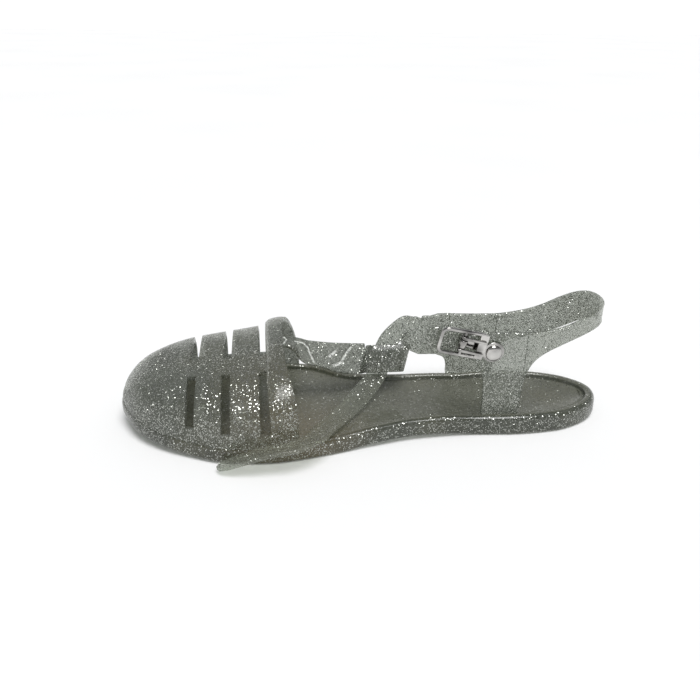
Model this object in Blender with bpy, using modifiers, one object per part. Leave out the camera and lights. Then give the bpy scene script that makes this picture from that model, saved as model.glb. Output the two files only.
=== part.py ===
"""Left jelly sandal: a one-piece moulded sole, a toe cage of cross strips with a
T-strap, a heel harness that runs on into the loose ankle strap, and a metal buckle.

The shoe is built with x = 0 at the heel end, +x towards the toe, +y towards the
outer side of the foot and z = 0 on the floor, and is then moved as a whole so that
the origin lies under the middle of the heel. All lengths are in metres.
"""
import math

import bmesh
import bpy
from mathutils import Matrix, Vector

# Sole
SOLE_LENGTH = 0.245
BALL_WIDTH = 0.0905
SOLE_THICK = 0.010
TOE_SPRING = 0.0065
WAIST_LIFT = 0.0018
SOLE_EDGE_RADIUS = 0.0032
RIM_WIDTH = 0.0046
FOOTBED_DROP = 0.0019
FOOTBED_DISH = 0.0009
HEEL_CENTRE = 0.032

# Upper
WALL = 0.0022
SEAT_GAP = 0.0003
RIM_STEP = 0.0028
CAGE_HEIGHT = 0.0425
CAGE_ROUNDNESS = 3.0
INNER_ROUNDNESS = 4.0
MUDGUARD_HEIGHT = 0.0060
CENTRE_STRIP_WIDTH = 0.0154
CENTRE_STRIP_OFFSET = 0.0156
CENTRE_STRIP_SLANT = 0.042
CAGE_SKEW = 0.07
CENTRE_STRIP_RAISE = 0.0005
STRIP_CROWN = 0.0020
TOE_GROOVE = 0.0012
THROAT_SWEEP = 0.0055
THROAT_FLARE = 0.0045

# T-strap and its loop
T_STRAP_WIDTH = 0.0115
T_STRAP_THICK = 0.0020
LOOP_LENGTH = 0.0238
LOOP_GAP = 0.0050
LOOP_HEIGHT = 0.0144
LOOP_WALL = 0.0018
LOOP_BITE = 0.0016
LOOP_DROP = 0.0006
LOOP_TILT = math.radians(23.5)
LOOP_SLANT = 0.30

# Heel harness and ankle strap
HARNESS_HEIGHT = 0.063
HARNESS_DEPTH = 0.0355
HARNESS_WIDTH = 0.0512
HARNESS_SETBACK = 0.0045
HARNESS_OFFSET = 0.0035
LEAN_HEIGHT = 0.048
OUTER_LEAN = 0.120
INNER_LEAN = 0.080
STRAP_WIDTH = 0.0110
STRAP_THICK = 0.0021

# Buckle. BUCKLE_ALONG is a share of SOLE_LENGTH and BUCKLE_LEVEL one of HARNESS_HEIGHT,
# so that the bar keeps its place on the arm.
BUCKLE_ALONG = 0.3298
BUCKLE_LEVEL = 0.8333
BUCKLE_SLOPE = math.radians(13)
FRAME_LENGTH = 0.0236
FRAME_WIDTH = 0.0140
FRAME_WIRE = 0.0018
FRAME_CORNER = 0.0026
BAR_RADIUS = 0.0008
BAR_RISE = 0.0027
TURN_GAP = 0.0003
HOOD_WIDTH = 0.0042
HOOD_THICK = 0.0010
PRONG_WIDTH = 0.0015
PRONG_THICK = 0.0010
PRONG_SPREAD = 0.0064
PRONG_REACH = 0.0108
TAB_WIDTH = 0.0038
TAB_THICK = 0.0008
TAB_DISC_RADIUS = 0.0053
RIVET_REACH = 0.0168
RIVET_DROP = 0.0028
RIVET_HEAD_RADIUS = 0.0040
RIVET_HEAD_HEIGHT = 0.0021
RIVET_SHANK_RADIUS = 0.0012
RIVET_FOOT_RADIUS = 0.0028
RIVET_FOOT_THICK = 0.0007
RIVET_CLEARANCE = 0.0003

# Outline of the sole, from heel to toe. along: share of SOLE_LENGTH;
# outer and inner: half-widths as shares of BALL_WIDTH.
OUTLINE_COLUMNS = ("along", "outer", "inner")
OUTLINE_ROWS = (
    (0.000, 0.005, 0.005),
    (0.020, 0.157, -0.122),
    (0.060, 0.250, -0.212),
    (0.120, 0.315, -0.272),
    (0.200, 0.334, -0.300),
    (0.300, 0.320, -0.286),
    (0.400, 0.340, -0.280),
    (0.500, 0.402, -0.324),
    (0.600, 0.480, -0.508),
    (0.700, 0.531, -0.546),
    (0.780, 0.512, -0.528),
    (0.860, 0.426, -0.474),
    (0.920, 0.328, -0.378),
    (0.960, 0.222, -0.282),
    (0.985, 0.104, -0.180),
    (1.000, -0.045, -0.045),
)

# Side view of the sole. lift: waist arch as a share of WAIST_LIFT; spring: share of
# TOE_SPRING; thick: share of SOLE_THICK.
PROFILE_COLUMNS = ("along", "lift", "spring", "thick")
PROFILE_ROWS = (
    (0.00, 0.0, 0.00, 1.03),
    (0.12, 0.0, 0.00, 1.03),
    (0.27, 0.0, 0.00, 1.00),
    (0.34, 0.7, 0.00, 0.95),
    (0.42, 1.0, 0.00, 0.90),
    (0.50, 0.7, 0.00, 0.89),
    (0.57, 0.0, 0.00, 0.92),
    (0.74, 0.0, 0.00, 0.89),
    (0.82, 0.0, 0.10, 0.87),
    (0.90, 0.0, 0.36, 0.84),
    (0.96, 0.0, 0.70, 0.81),
    (1.00, 0.0, 1.00, 0.80),
)

# Edge of the sole, from the tread round the side to the footbed. inset: from the
# outline; rise: above the tread where positive, below the rim where negative or
# zero; both as shares of SOLE_EDGE_RADIUS.
EDGE_COLUMNS = ("inset", "rise")
EDGE_ROWS = (
    (0.85, 0.00),
    (0.36, 0.10),
    (0.10, 0.34),
    (0.00, 0.72),
    (0.00, -0.95),
    (0.18, -0.42),
    (0.55, -0.10),
    (1.00, 0.00),
)

# Toe cage stations. along: share of the way from the heel end to the cage's tip;
# crest: height of the middle of the top, as a share of the room between the rim and
# CAGE_HEIGHT; across: place across its own strip from 0 to 1, for the crown; kind says
# what lies there.
CAGE_COLUMNS = ("along", "crest", "across", "kind")
CAGE_ROWS = (
    (0.9992, 0.030, 0.0, "cap"),
    (0.9972, 0.102, 0.0, "cap"),
    (0.9921, 0.206, 0.0, "cap"),
    (0.9837, 0.304, 0.0, "cap"),
    (0.9721, 0.398, 0.0, "cap"),
    (0.9559, 0.481, 0.0, "cap"),
    (0.9529, 0.492, 0.0, "cap"),
    (0.9493, 0.506, 0.0, "groove"),
    (0.9322, 0.558, 0.0, "groove"),
    (0.9286, 0.567, 0.0, "strip"),
    (0.9185, 0.590, 0.18, "strip"),
    (0.8973, 0.624, 0.5, "strip"),
    (0.8740, 0.652, 0.82, "strip"),
    (0.8644, 0.661, 1.0, "gap"),
    (0.8467, 0.677, 0.0, "strip"),
    (0.8386, 0.685, 0.18, "strip"),
    (0.8219, 0.698, 0.5, "strip"),
    (0.8052, 0.712, 0.82, "strip"),
    (0.7971, 0.719, 1.0, "gap"),
    (0.7799, 0.735, 0.0, "strip"),
    (0.7708, 0.743, 0.18, "strip"),
    (0.7521, 0.761, 0.5, "strip"),
    (0.7324, 0.783, 0.82, "strip"),
    (0.7243, 0.793, 1.0, "gap"),
    (0.7046, 0.859, 0.0, "throat"),
    (0.6980, 0.904, 0.18, "throat"),
    (0.6793, 0.938, 0.5, "throat"),
    (0.6631, 0.951, 0.82, "throat"),
    (0.6535, 0.949, 1.0, "throat"),
)
THROAT_START = 0.7046

# T-strap from the throat strip back to its loop. along: share of SOLE_LENGTH; side:
# share of BALL_WIDTH; height: share of CAGE_HEIGHT; turn: degrees from lying flat;
# width: share of T_STRAP_WIDTH.
T_STRAP_COLUMNS = ("along", "side", "height", "turn", "width")
T_STRAP_ROWS = (
    (0.681, -0.045, 0.938, 0, 0.95),
    (0.657, -0.052, 0.925, -8, 0.93),
    (0.636, -0.068, 0.850, -38, 0.92),
    (0.615, -0.080, 0.764, -58, 1.08),
    (0.585, -0.092, 0.712, -64, 1.16),
    (0.545, -0.105, 0.648, -67, 1.37),
    (0.512, -0.118, 0.621, -67, 1.39),
    (0.492, -0.126, 0.618, -67, 1.34),
)

# Heel harness, from the tip of the buckle arm round the heel to the inner arm.
# along: share of SOLE_LENGTH; side: 1 outer, 0 at the back, -1 inner; low and high:
# edges as shares of HARNESS_HEIGHT, where low 0 means that the row stands on the sole.
HARNESS_COLUMNS = ("along", "side", "low", "high")
HARNESS_ROWS = (
    (0.3990, 1, 0.850, 0.900),
    (0.3950, 1, 0.805, 0.930),
    (0.3850, 1, 0.772, 0.945),
    (0.3620, 1, 0.742, 0.944),
    (0.3330, 1, 0.706, 0.928),
    (0.3090, 1, 0.666, 0.912),
    (0.2940, 1, 0.620, 0.901),
    (0.2850, 1, 0.560, 0.895),
    (0.2780, 1, 0.470, 0.891),
    (0.2745, 1, 0.330, 0.889),
    (0.2720, 1, 0, 0.888),
    (0.2570, 1, 0, 0.883),
    (0.2350, 1, 0, 0.879),
    (0.2130, 1, 0, 0.877),
    (0.1985, 1, 0, 0.877),
    (0.1970, 1, 0.300, 0.877),
    (0.1945, 1, 0.430, 0.877),
    (0.1890, 1, 0.540, 0.877),
    (0.1780, 1, 0.625, 0.878),
    (0.1600, 1, 0.690, 0.886),
    (0.1330, 1, 0.745, 0.904),
    (0.1020, 1, 0.788, 0.936),
    (0.0720, 1, 0.815, 0.970),
    (0.0460, 1, 0.826, 0.992),
    (0.0300, 1, 0.828, 1.000),
    (0.0214, 1, 0.826, 1.000),
    (0.0184, 0, 0.812, 1.000),
    (0.0214, -1, 0.786, 1.000),
    (0.0300, -1, 0.744, 0.992),
    (0.0460, -1, 0.676, 0.960),
    (0.0720, -1, 0.594, 0.890),
    (0.1020, -1, 0.530, 0.808),
    (0.1330, -1, 0.492, 0.755),
    (0.1600, -1, 0.474, 0.731),
    (0.1780, -1, 0.440, 0.722),
    (0.1890, -1, 0.400, 0.717),
    (0.1945, -1, 0.330, 0.716),
    (0.1970, -1, 0.250, 0.715),
    (0.1985, -1, 0, 0.715),
    (0.2210, -1, 0, 0.715),
    (0.2510, -1, 0, 0.718),
    (0.2810, -1, 0, 0.722),
    (0.3010, -1, 0, 0.726),
    (0.3030, -1, 0.222, 0.727),
    (0.3070, -1, 0.285, 0.728),
    (0.3140, -1, 0.322, 0.729),
    (0.3280, -1, 0.345, 0.729),
)

# Ankle strap from the inner arm through the loop, across the footbed, over the rim
# and down beside the sole. along: share of SOLE_LENGTH; side: share of BALL_WIDTH;
# height: share of HARNESS_HEIGHT; turn: degrees from lying flat; half: half-width as
# a share of STRAP_WIDTH.
STRAP_COLUMNS = ("along", "side", "height", "turn", "half")
STRAP_ROWS = (
    (0.3590, -0.232, 0.545, 88, 1.015),
    (0.3800, -0.232, 0.570, 87, 0.895),
    (0.3930, -0.227, 0.611, 84, 0.668),
    (0.4080, -0.208, 0.640, 76, 0.480),
    (0.4350, -0.168, 0.572, 58, 0.460),
    (0.4490, -0.146, 0.500, 48, 0.455),
    (0.4560, -0.124, 0.421, 38, 0.450),
    (0.4620, -0.107, 0.350, 34, 0.445),
    (0.4710, -0.076, 0.278, 36, 0.450),
    (0.5110, 0.066, 0.201, 22, 0.490),
    (0.5430, 0.188, 0.170, 9, 0.490),
    (0.5740, 0.312, 0.168, 2, 0.490),
    (0.5980, 0.426, 0.184, -2, 0.490),
    (0.6180, 0.518, 0.192, -7, 0.490),
    (0.6570, 0.595, 0.190, -8, 0.490),
    (0.7010, 0.603, 0.170, -6, 0.490),
    (0.7430, 0.597, 0.121, -4, 0.485),
    (0.7730, 0.583, 0.075, -2, 0.460),
    (0.7890, 0.568, 0.047, 0, 0.360),
    (0.7965, 0.562, 0.037, 0, 0.200),
)


def column(rows, names, name):
    """Returns one named column of a table as a list."""
    place = names.index(name)
    return [row[place] for row in rows]


def monotone(places, values):
    """Returns a smooth function through the points that never overshoots them."""
    steps = [b - a for a, b in zip(places, places[1:])]
    slopes = [(b - a) / step for a, b, step in zip(values, values[1:], steps)]
    tangents = [slopes[0]]
    for before, after in zip(slopes, slopes[1:]):
        tangents.append(0.0 if before * after <= 0 else 2 * before * after / (before + after))
    tangents.append(slopes[-1])

    def value(place):
        place = min(max(place, places[0]), places[-1])
        index = 0
        while index < len(steps) - 1 and place > places[index + 1]:
            index += 1
        step = steps[index]
        share = (place - places[index]) / step
        square, cube = share ** 2, share ** 3
        return (
            (2 * cube - 3 * square + 1) * values[index]
            + (cube - 2 * square + share) * step * tangents[index]
            + (3 * square - 2 * cube) * values[index + 1]
            + (cube - square) * step * tangents[index + 1]
        )

    return value


def profile_curve(name):
    """Returns a column of the sole's side view as a function of the share along it."""
    places = column(PROFILE_ROWS, PROFILE_COLUMNS, "along")
    return monotone(places, column(PROFILE_ROWS, PROFILE_COLUMNS, name))


LIFT = profile_curve("lift")
SPRING = profile_curve("spring")
THICKNESS = profile_curve("thick")


def tread_height(x):
    """Height of the underside of the sole above the floor."""
    along = x / SOLE_LENGTH
    return WAIST_LIFT * LIFT(along) + TOE_SPRING * SPRING(along)


def rim_height(x):
    """Height of the top of the sole's rim above the floor."""
    return tread_height(x) + SOLE_THICK * THICKNESS(x / SOLE_LENGTH)


def outline(steps, inset=0.0):
    """Returns the sole's outline as two lists from heel to toe, outer side and inner side.

    Both are moved inwards by inset, square to the edge. They share their end points.
    """
    angles = [math.acos(1 - 2 * along) for along in column(OUTLINE_ROWS, OUTLINE_COLUMNS, "along")]
    outer = monotone(angles, column(OUTLINE_ROWS, OUTLINE_COLUMNS, "outer"))
    inner = monotone(angles, column(OUTLINE_ROWS, OUTLINE_COLUMNS, "inner"))
    turns = [math.pi * step / steps for step in range(steps + 1)]
    lengths = [SOLE_LENGTH * (1 - math.cos(turn)) / 2 for turn in turns]
    loop = [Vector((x, BALL_WIDTH * outer(turn), 0)) for x, turn in zip(lengths, turns)]
    back = [Vector((x, BALL_WIDTH * inner(turn), 0)) for x, turn in zip(lengths, turns)]
    loop += back[-2:0:-1]
    count = len(loop)
    moved = []
    for index, point in enumerate(loop):
        run = (loop[(index + 1) % count] - loop[index - 1]).normalized()
        moved.append(point + Vector((run.y, -run.x, 0)) * inset)
    outer_side = moved[: steps + 1]
    inner_side = [moved[0]] + moved[:steps:-1] + [moved[steps]]
    return outer_side, inner_side


def side_at(points, x):
    """Returns the y where a side of the outline passes x."""
    for first, second in zip(points, points[1:]):
        if first.x <= x <= second.x:
            share = (x - first.x) / max(second.x - first.x, 1e-9)
            return first.y + (second.y - first.y) * share
    return points[-1].y if x > points[-1].x else points[0].y


def make_object(name, mesh_data, material, collection, parent):
    """Puts a bmesh into a new smooth-shaded object."""
    mesh = bpy.data.meshes.new(name)
    bmesh.ops.recalc_face_normals(mesh_data, faces=mesh_data.faces)
    mesh_data.to_mesh(mesh)
    mesh_data.free()
    mesh.materials.append(material)
    mesh.shade_smooth()
    mesh.set_sharp_from_angle(angle=math.radians(40))
    result = bpy.data.objects.new(name, mesh)
    collection.objects.link(result)
    result.parent = parent
    return result


def make_material(name, colour, roughness, metallic):
    """Returns a plain Principled material."""
    material = bpy.data.materials.new(name)
    material.use_nodes = True
    shader = material.node_tree.nodes["Principled BSDF"]
    shader.inputs["Base Color"].default_value = (*colour, 1)
    shader.inputs["Roughness"].default_value = roughness
    shader.inputs["Metallic"].default_value = metallic
    return material


def stitch(bm, first, second, closed=True):
    """Joins two equally long rows of vertices with faces."""
    count = len(first)
    for index in range(count if closed else count - 1):
        after = (index + 1) % count
        corners = [first[index], first[after], second[after], second[index]]
        corners = [v for place, v in enumerate(corners) if v not in corners[:place]]
        if len(corners) > 2:
            bm.faces.new(corners)


def build_sole(steps=36, spans=3):
    """The sole: rounded edge, raised rim and sunk, dished footbed, with a flat tread."""
    bm = bmesh.new()
    edge = [
        (row[0] * SOLE_EDGE_RADIUS, row[1] * SOLE_EDGE_RADIUS, place < len(EDGE_ROWS) / 2)
        for place, row in enumerate(EDGE_ROWS)
    ]
    edge += [
        (RIM_WIDTH, -0.1 * FOOTBED_DROP, False),
        (RIM_WIDTH + 0.35 * FOOTBED_DROP, -0.75 * FOOTBED_DROP, False),
        (RIM_WIDTH + 1.1 * FOOTBED_DROP, -FOOTBED_DROP, False),
    ]

    def ring(inset, rise, from_tread):
        outer_side, inner_side = outline(steps, inset)
        loop = outer_side + inner_side[-2:0:-1]
        height = tread_height if from_tread else rim_height
        return [bm.verts.new((p.x, p.y, height(p.x) + rise)) for p in loop]

    rings = [ring(*values) for values in edge]
    for lower, upper in zip(rings, rings[1:]):
        stitch(bm, lower, upper)

    def fill(loop, height):
        """Fills a ring with rows of faces that run across the shoe."""
        rows = []
        for index in range(steps + 1):
            outer_vert = loop[index]
            inner_vert = loop[-index] if 0 < index < steps else outer_vert
            row = [outer_vert]
            if inner_vert is not outer_vert:
                for part in range(1, 2 * spans):
                    share = part / (2 * spans)
                    spot = outer_vert.co.lerp(inner_vert.co, share)
                    spot.z = height(spot.x, 4 * share * (1 - share))
                    row.append(bm.verts.new(spot))
                row.append(inner_vert)
            rows.append(row)
        for row, after in zip(rows, rows[1:]):
            if len(row) == 1:
                row = row * len(after)
            if len(after) == 1:
                after = after * len(row)
            stitch(bm, row, after, closed=False)

    fill(rings[0], lambda x, middle: tread_height(x))
    fill(rings[-1], lambda x, middle: rim_height(x) - FOOTBED_DROP - FOOTBED_DISH * middle)
    return bm


def cage_section(row, outer_side, inner_side, sub):
    """One section of the toe cage as a list of (point, zone, place in zone) across the shoe.

    The zones run mudguard, window, centre, window, mudguard from the outer side. The
    section is fuller and higher on the inner side, over the big toe, as on a last.
    """
    x = outer_side[-1].x * row[0]
    low_y, high_y = side_at(inner_side, x), side_at(outer_side, x)
    middle, half = (low_y + high_y) / 2, (high_y - low_y) / 2
    floor = rim_height(x) + SEAT_GAP
    height = (CAGE_HEIGHT - floor) * row[1]
    power, inner_power = 2 / CAGE_ROUNDNESS, 2 / INNER_ROUNDNESS

    def guard_angle(bend):
        return math.asin(min(MUDGUARD_HEIGHT / height, 0.9) ** (1 / bend))

    def angle_of_side(y):
        share = max(min((y - middle) / half, 0.75), -0.75)
        bend = power if share >= 0 else inner_power
        return math.acos(math.copysign(abs(share) ** (1 / bend), share))

    centre = CENTRE_STRIP_OFFSET - CENTRE_STRIP_SLANT * (row[0] - THROAT_START)
    strip_outer = angle_of_side(centre + CENTRE_STRIP_WIDTH / 2)
    strip_inner = angle_of_side(centre - CENTRE_STRIP_WIDTH / 2)
    bounds = [
        0.0,
        guard_angle(power),
        strip_outer,
        strip_inner,
        math.pi - guard_angle(inner_power),
        math.pi,
    ]
    zones = ("guard", "window", "centre", "window", "guard")
    counts = (sub, 3 * sub, 2 * sub, 3 * sub, sub)
    behind_gap = min(max((THROAT_START - row[0]) / (THROAT_START - CAGE_ROWS[-1][0]), 0), 1)
    points = []
    for zone, count, first, last in zip(zones, counts, bounds, bounds[1:]):
        for step in range(count + (zone == "guard" and last == math.pi)):
            share = step / count
            angle = first + (last - first) * share
            cosine, sine = math.cos(angle), max(math.sin(angle), 0.0)
            bend = power if cosine >= 0 else inner_power
            y = middle + half * math.copysign(abs(cosine) ** bend, cosine)
            flare = THROAT_FLARE * (1 - sine) ** 2 if cosine < 0 else 0.0
            swept = x + behind_gap * (THROAT_SWEEP * sine ** 2 - flare)
            skewed = height * (1 - CAGE_SKEW * (y - middle) / half)
            points.append((Vector((swept, y, floor + skewed * sine ** bend)), zone, share))
    return points


def cage_offset(kind, across, zone, share, crown_now):
    """How far the outer face stands proud of the plain wall at one point of the cage."""
    crown = STRIP_CROWN * (1 - (2 * across - 1) ** 2) * crown_now
    if zone == "guard":
        return 0.0
    if zone == "centre":
        raised = CENTRE_STRIP_RAISE * min(1.0, 4 * share * (1 - share) * 2)
        return crown if kind == "throat" else raised
    fade = min(1.0, 2.6 * math.sin(math.pi * share)) if 0 < share < 1 else 0.0
    if kind == "throat":
        fade = min(1.0, 2.6 * share) if share < 0.5 else 1.0
    if kind == "groove":
        return -TOE_GROOVE * min(1.0, 4 * math.sin(math.pi * share))
    return crown * fade


def build_cage(sub=2):
    """The toe cage: a wall over the forefoot with windows between the crowned strips."""
    bm = bmesh.new()
    outer_side, inner_side = outline(90, RIM_STEP)
    sections = [cage_section(row, outer_side, inner_side, sub) for row in CAGE_ROWS]
    tip_x = outer_side[-1].x
    tip = Vector((tip_x, outer_side[-1].y, rim_height(tip_x) + SEAT_GAP))
    width = len(sections[0])
    plain = [[point for point, _, _ in section] for section in sections]
    outer_grid, inner_grid = [], []
    for i, (row, section) in enumerate(zip(CAGE_ROWS, sections)):
        ahead = plain[i - 1] if i else [tip] * width
        behind = plain[min(i + 1, len(plain) - 1)]
        outer_row, inner_row = [], []
        for j, (point, zone, share) in enumerate(section):
            run = behind[j] - ahead[j]
            across = plain[i][min(j + 1, width - 1)] - plain[i][max(j - 1, 0)]
            normal = across.cross(run).normalized()
            if j in (0, width - 1):
                normal = Vector((normal.x, normal.y, 0)).normalized()
                share = 0.0
            mirrored = share if j < width / 2 or zone == "centre" else 1 - share
            proud = cage_offset(row[3], row[2], zone, mirrored, row[3] in ("strip", "throat", "gap"))
            if j in (0, width - 1):
                proud = 0.0
            outer_row.append(bm.verts.new(point + normal * proud))
            inner_row.append(bm.verts.new(point - normal * WALL))
        outer_grid.append(outer_row)
        inner_grid.append(inner_row)

    def open_cell(i, j):
        return CAGE_ROWS[i][3] == "gap" and sections[i][j][1] == "window"

    pairs = {}
    for outer_row, inner_row in zip(outer_grid, inner_grid):
        pairs.update(zip(outer_row, inner_row))
    outer_tip = bm.verts.new(tip)
    pairs[outer_tip] = bm.verts.new(tip - Vector((WALL, 0, 0)))
    cells = [[outer_tip, outer_grid[0][j], outer_grid[0][j + 1]] for j in range(width - 1)]
    for i in range(len(CAGE_ROWS) - 1):
        for j in range(width - 1):
            if not open_cell(i, j):
                first, second = outer_grid[i], outer_grid[i + 1]
                cells.append([first[j], second[j], second[j + 1], first[j + 1]])
    thicken(bm, cells, pairs)
    return bm


def thicken(bm, cells, pairs):
    """Makes a closed wall from outer cells and each outer vertex's inner partner."""
    for cell in cells:
        bm.faces.new(cell)
    borders = [edge for edge in bm.edges if len(edge.link_faces) == 1]
    rims = []
    for edge in borders:
        loop = edge.link_loops[0]
        rims.append((loop.vert, loop.link_loop_next.vert))
    for cell in cells:
        bm.faces.new([pairs[v] for v in reversed(cell)])
    for first, second in rims:
        bm.faces.new([second, first, pairs[first], pairs[second]])
    for vert in [v for v in bm.verts if not v.link_faces]:
        bm.verts.remove(vert)


def band(rows, thick, bead=0.0):
    """A strap as a closed solid, from rows of (anchor, across, low, high).

    across is a unit vector over the strap's width; low and high are the distances
    from the anchor to the strap's edges along it.
    """
    bm = bmesh.new()
    rings = []
    for index, (anchor, across, low, high) in enumerate(rows):
        before = rows[max(index - 1, 0)][0]
        after = rows[min(index + 1, len(rows) - 1)][0]
        out = (after - before).cross(across).normalized()
        width = high - low
        near, far = min(0.0007, 0.14 * width), min(0.0020, 0.32 * width)
        places = [low, low + near, low + far, (low + high) / 2, high - far, high - near, high]
        heights = [0.22 * thick, 0.46 * thick, 0.5 * thick, 0.5 * thick + bead]
        heights += heights[-2::-1]
        ring = [anchor + across * p + out * h for p, h in zip(places, heights)]
        ring += [anchor + across * p - out * h for p, h in zip(reversed(places), reversed(heights))]
        rings.append([bm.verts.new(point) for point in ring])
    for first, second in zip(rings, rings[1:]):
        stitch(bm, first, second)
    for ring in (rings[0], rings[-1]):
        half = len(ring) // 2
        for index in range(half - 1):
            bm.faces.new([ring[index], ring[index + 1], ring[-index - 2], ring[-index - 1]])
    return bm


def flow(points, spans):
    """Points on a smooth curve through the given points, spans to each interval."""
    result = []
    last = len(points) - 1
    for index in range(last):
        a, b = points[max(index - 1, 0)], points[index]
        c, d = points[index + 1], points[min(index + 2, last)]
        for step in range(spans):
            t = step / spans
            result.append([
                0.5 * (2 * q + (r - p) * t + (2 * p - 5 * q + 4 * r - s) * t ** 2 + (3 * q - p - 3 * r + s) * t ** 3)
                for p, q, r, s in zip(a, b, c, d)
            ])
    result.append(list(points[last]))
    return result


def banked_rows(points, spans):
    """Strap rows from a route of (x, y, z, turn in degrees, half-width)."""
    route = flow(points, spans)
    rows = []
    for index, (x, y, z, turn, half) in enumerate(route):
        ahead = Vector(route[min(index + 1, len(route) - 1)][:3])
        behind = Vector(route[max(index - 1, 0)][:3])
        run = (ahead - behind).normalized()
        level = run.cross(Vector((0, 0, 1))).normalized()
        upright = level.cross(run)
        across = level * math.cos(math.radians(turn)) + upright * math.sin(math.radians(turn))
        rows.append((Vector((x, y, z)), across, -half, half))
    return rows


def harness_row(along, side, low, high):
    """One row of the heel harness, on its half-ellipse round the heel."""
    x = SOLE_LENGTH * along
    depth = min(max((x - HARNESS_SETBACK) / HARNESS_DEPTH, 0), 1)
    bend = math.sqrt(depth * (2 - depth))
    y = HARNESS_OFFSET + side * bend * HARNESS_WIDTH / 2
    lean = bend * (OUTER_LEAN if side > 0 else INNER_LEAN)
    across = Vector((0, lean, 1)).normalized()
    anchor = Vector((x, y, LEAN_HEIGHT))
    bottom = rim_height(x) + SEAT_GAP if low == 0 else HARNESS_HEIGHT * low
    return (anchor, across, (bottom - LEAN_HEIGHT) / across.z, (HARNESS_HEIGHT * high - LEAN_HEIGHT) / across.z)


def build_harness(spans=3):
    """Buckle arm, side stays, heel strap, inner arm and the ankle strap, in one piece."""
    rows = [harness_row(*row) for row in HARNESS_ROWS]
    points = [
        (SOLE_LENGTH * along, BALL_WIDTH * side, HARNESS_HEIGHT * height, turn, STRAP_WIDTH * half)
        for along, side, height, turn, half in STRAP_ROWS
    ]
    rows += banked_rows(points, spans)
    return band(rows, STRAP_THICK, bead=0.00015)


def build_t_strap(spans=3):
    """The T-strap, from inside the throat strip to the front of its loop."""
    points = [
        (SOLE_LENGTH * along, BALL_WIDTH * side, CAGE_HEIGHT * height, turn, T_STRAP_WIDTH * width / 2)
        for along, side, height, turn, width in T_STRAP_ROWS
    ]
    return band(banked_rows(points, spans), T_STRAP_THICK)


def loop_matrix():
    """The loop's own frame: x along the T-strap, y out of its face, z up its width.

    The T-strap's end reaches LOOP_BITE into the loop's front wall.
    """
    along, side, height, _, _ = T_STRAP_ROWS[-1]
    centre = Vector((
        SOLE_LENGTH * along + LOOP_BITE - LOOP_LENGTH / 2,
        BALL_WIDTH * side,
        CAGE_HEIGHT * height - LOOP_DROP,
    ))
    return Matrix.Translation(centre) @ Matrix.Rotation(LOOP_TILT, 4, "X")


def build_loop(turns=6):
    """The flat sleeve that the ankle strap runs through."""
    bm = bmesh.new()
    rings = []
    for level in (-0.5, 0.5):
        for wall in (0.0, LOOP_WALL):
            radius = LOOP_GAP / 2 + wall
            centre = LOOP_LENGTH / 2 - LOOP_WALL - LOOP_GAP / 2
            ring = []
            for end in (1, -1):
                for step in range(turns + 1):
                    angle = math.pi * (step / turns - 0.5) + (0 if end > 0 else math.pi)
                    ring.append(bm.verts.new((
                        end * centre + radius * math.cos(angle) - LOOP_SLANT * level * LOOP_HEIGHT,
                        radius * math.sin(angle),
                        level * LOOP_HEIGHT,
                    )))
            rings.append(ring)
    low_in, low_out, high_in, high_out = rings
    stitch(bm, low_in, low_out)
    stitch(bm, high_out, high_in)
    stitch(bm, low_out, high_out)
    stitch(bm, high_in, low_in)
    bm.transform(loop_matrix())
    return bm


def buckle_matrix():
    """The buckle's frame: x along it to its toe end, y across it, z out of the strap."""
    lean = Vector((0, OUTER_LEAN, 1)).normalized()
    out = Vector((1, 0, 0)).cross(lean) * -1
    surface = HARNESS_OFFSET + HARNESS_WIDTH / 2
    rise = HARNESS_HEIGHT * BUCKLE_LEVEL - LEAN_HEIGHT
    place = Vector((SOLE_LENGTH * BUCKLE_ALONG, surface, LEAN_HEIGHT)) + lean * rise
    place += out * (STRAP_THICK / 2 + BAR_RISE)
    along = Vector((1, 0, 0)) * math.cos(BUCKLE_SLOPE) + lean * math.sin(BUCKLE_SLOPE)
    across = out.cross(along)
    turned = Matrix((along, across, out)).transposed().to_4x4()
    return Matrix.Translation(place) @ turned


def tube(name, points, radius, cyclic=False, resolution=3):
    """Returns a bmesh of a round wire along the points."""
    curve = bpy.data.curves.new(name, "CURVE")
    curve.dimensions = "3D"
    curve.bevel_depth = radius
    curve.bevel_resolution = resolution
    curve.use_fill_caps = True
    spline = curve.splines.new("POLY")
    spline.points.add(len(points) - 1)
    for target, point in zip(spline.points, points):
        target.co = (*point, 1)
    spline.use_cyclic_u = cyclic
    holder = bpy.data.objects.new(name, curve)
    bpy.context.scene.collection.objects.link(holder)
    graph = bpy.context.evaluated_depsgraph_get()
    mesh = bpy.data.meshes.new_from_object(holder.evaluated_get(graph))
    bpy.data.objects.remove(holder)
    bm = bmesh.new()
    bm.from_mesh(mesh)
    bpy.data.meshes.remove(mesh)
    bpy.data.curves.remove(curve)
    bmesh.ops.remove_doubles(bm, verts=bm.verts, dist=1e-6)
    bmesh.ops.recalc_face_normals(bm, faces=bm.faces)
    return bm


def block(size, centre, bevel=0.0):
    """Returns a bmesh box with rounded edges."""
    bm = bmesh.new()
    bmesh.ops.create_cube(bm, size=1)
    bmesh.ops.scale(bm, vec=size, verts=bm.verts)
    if bevel:
        bmesh.ops.bevel(bm, geom=bm.edges[:], offset=bevel, segments=2, affect="EDGES", profile=0.5)
    bmesh.ops.translate(bm, vec=centre, verts=bm.verts)
    return bm


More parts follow.
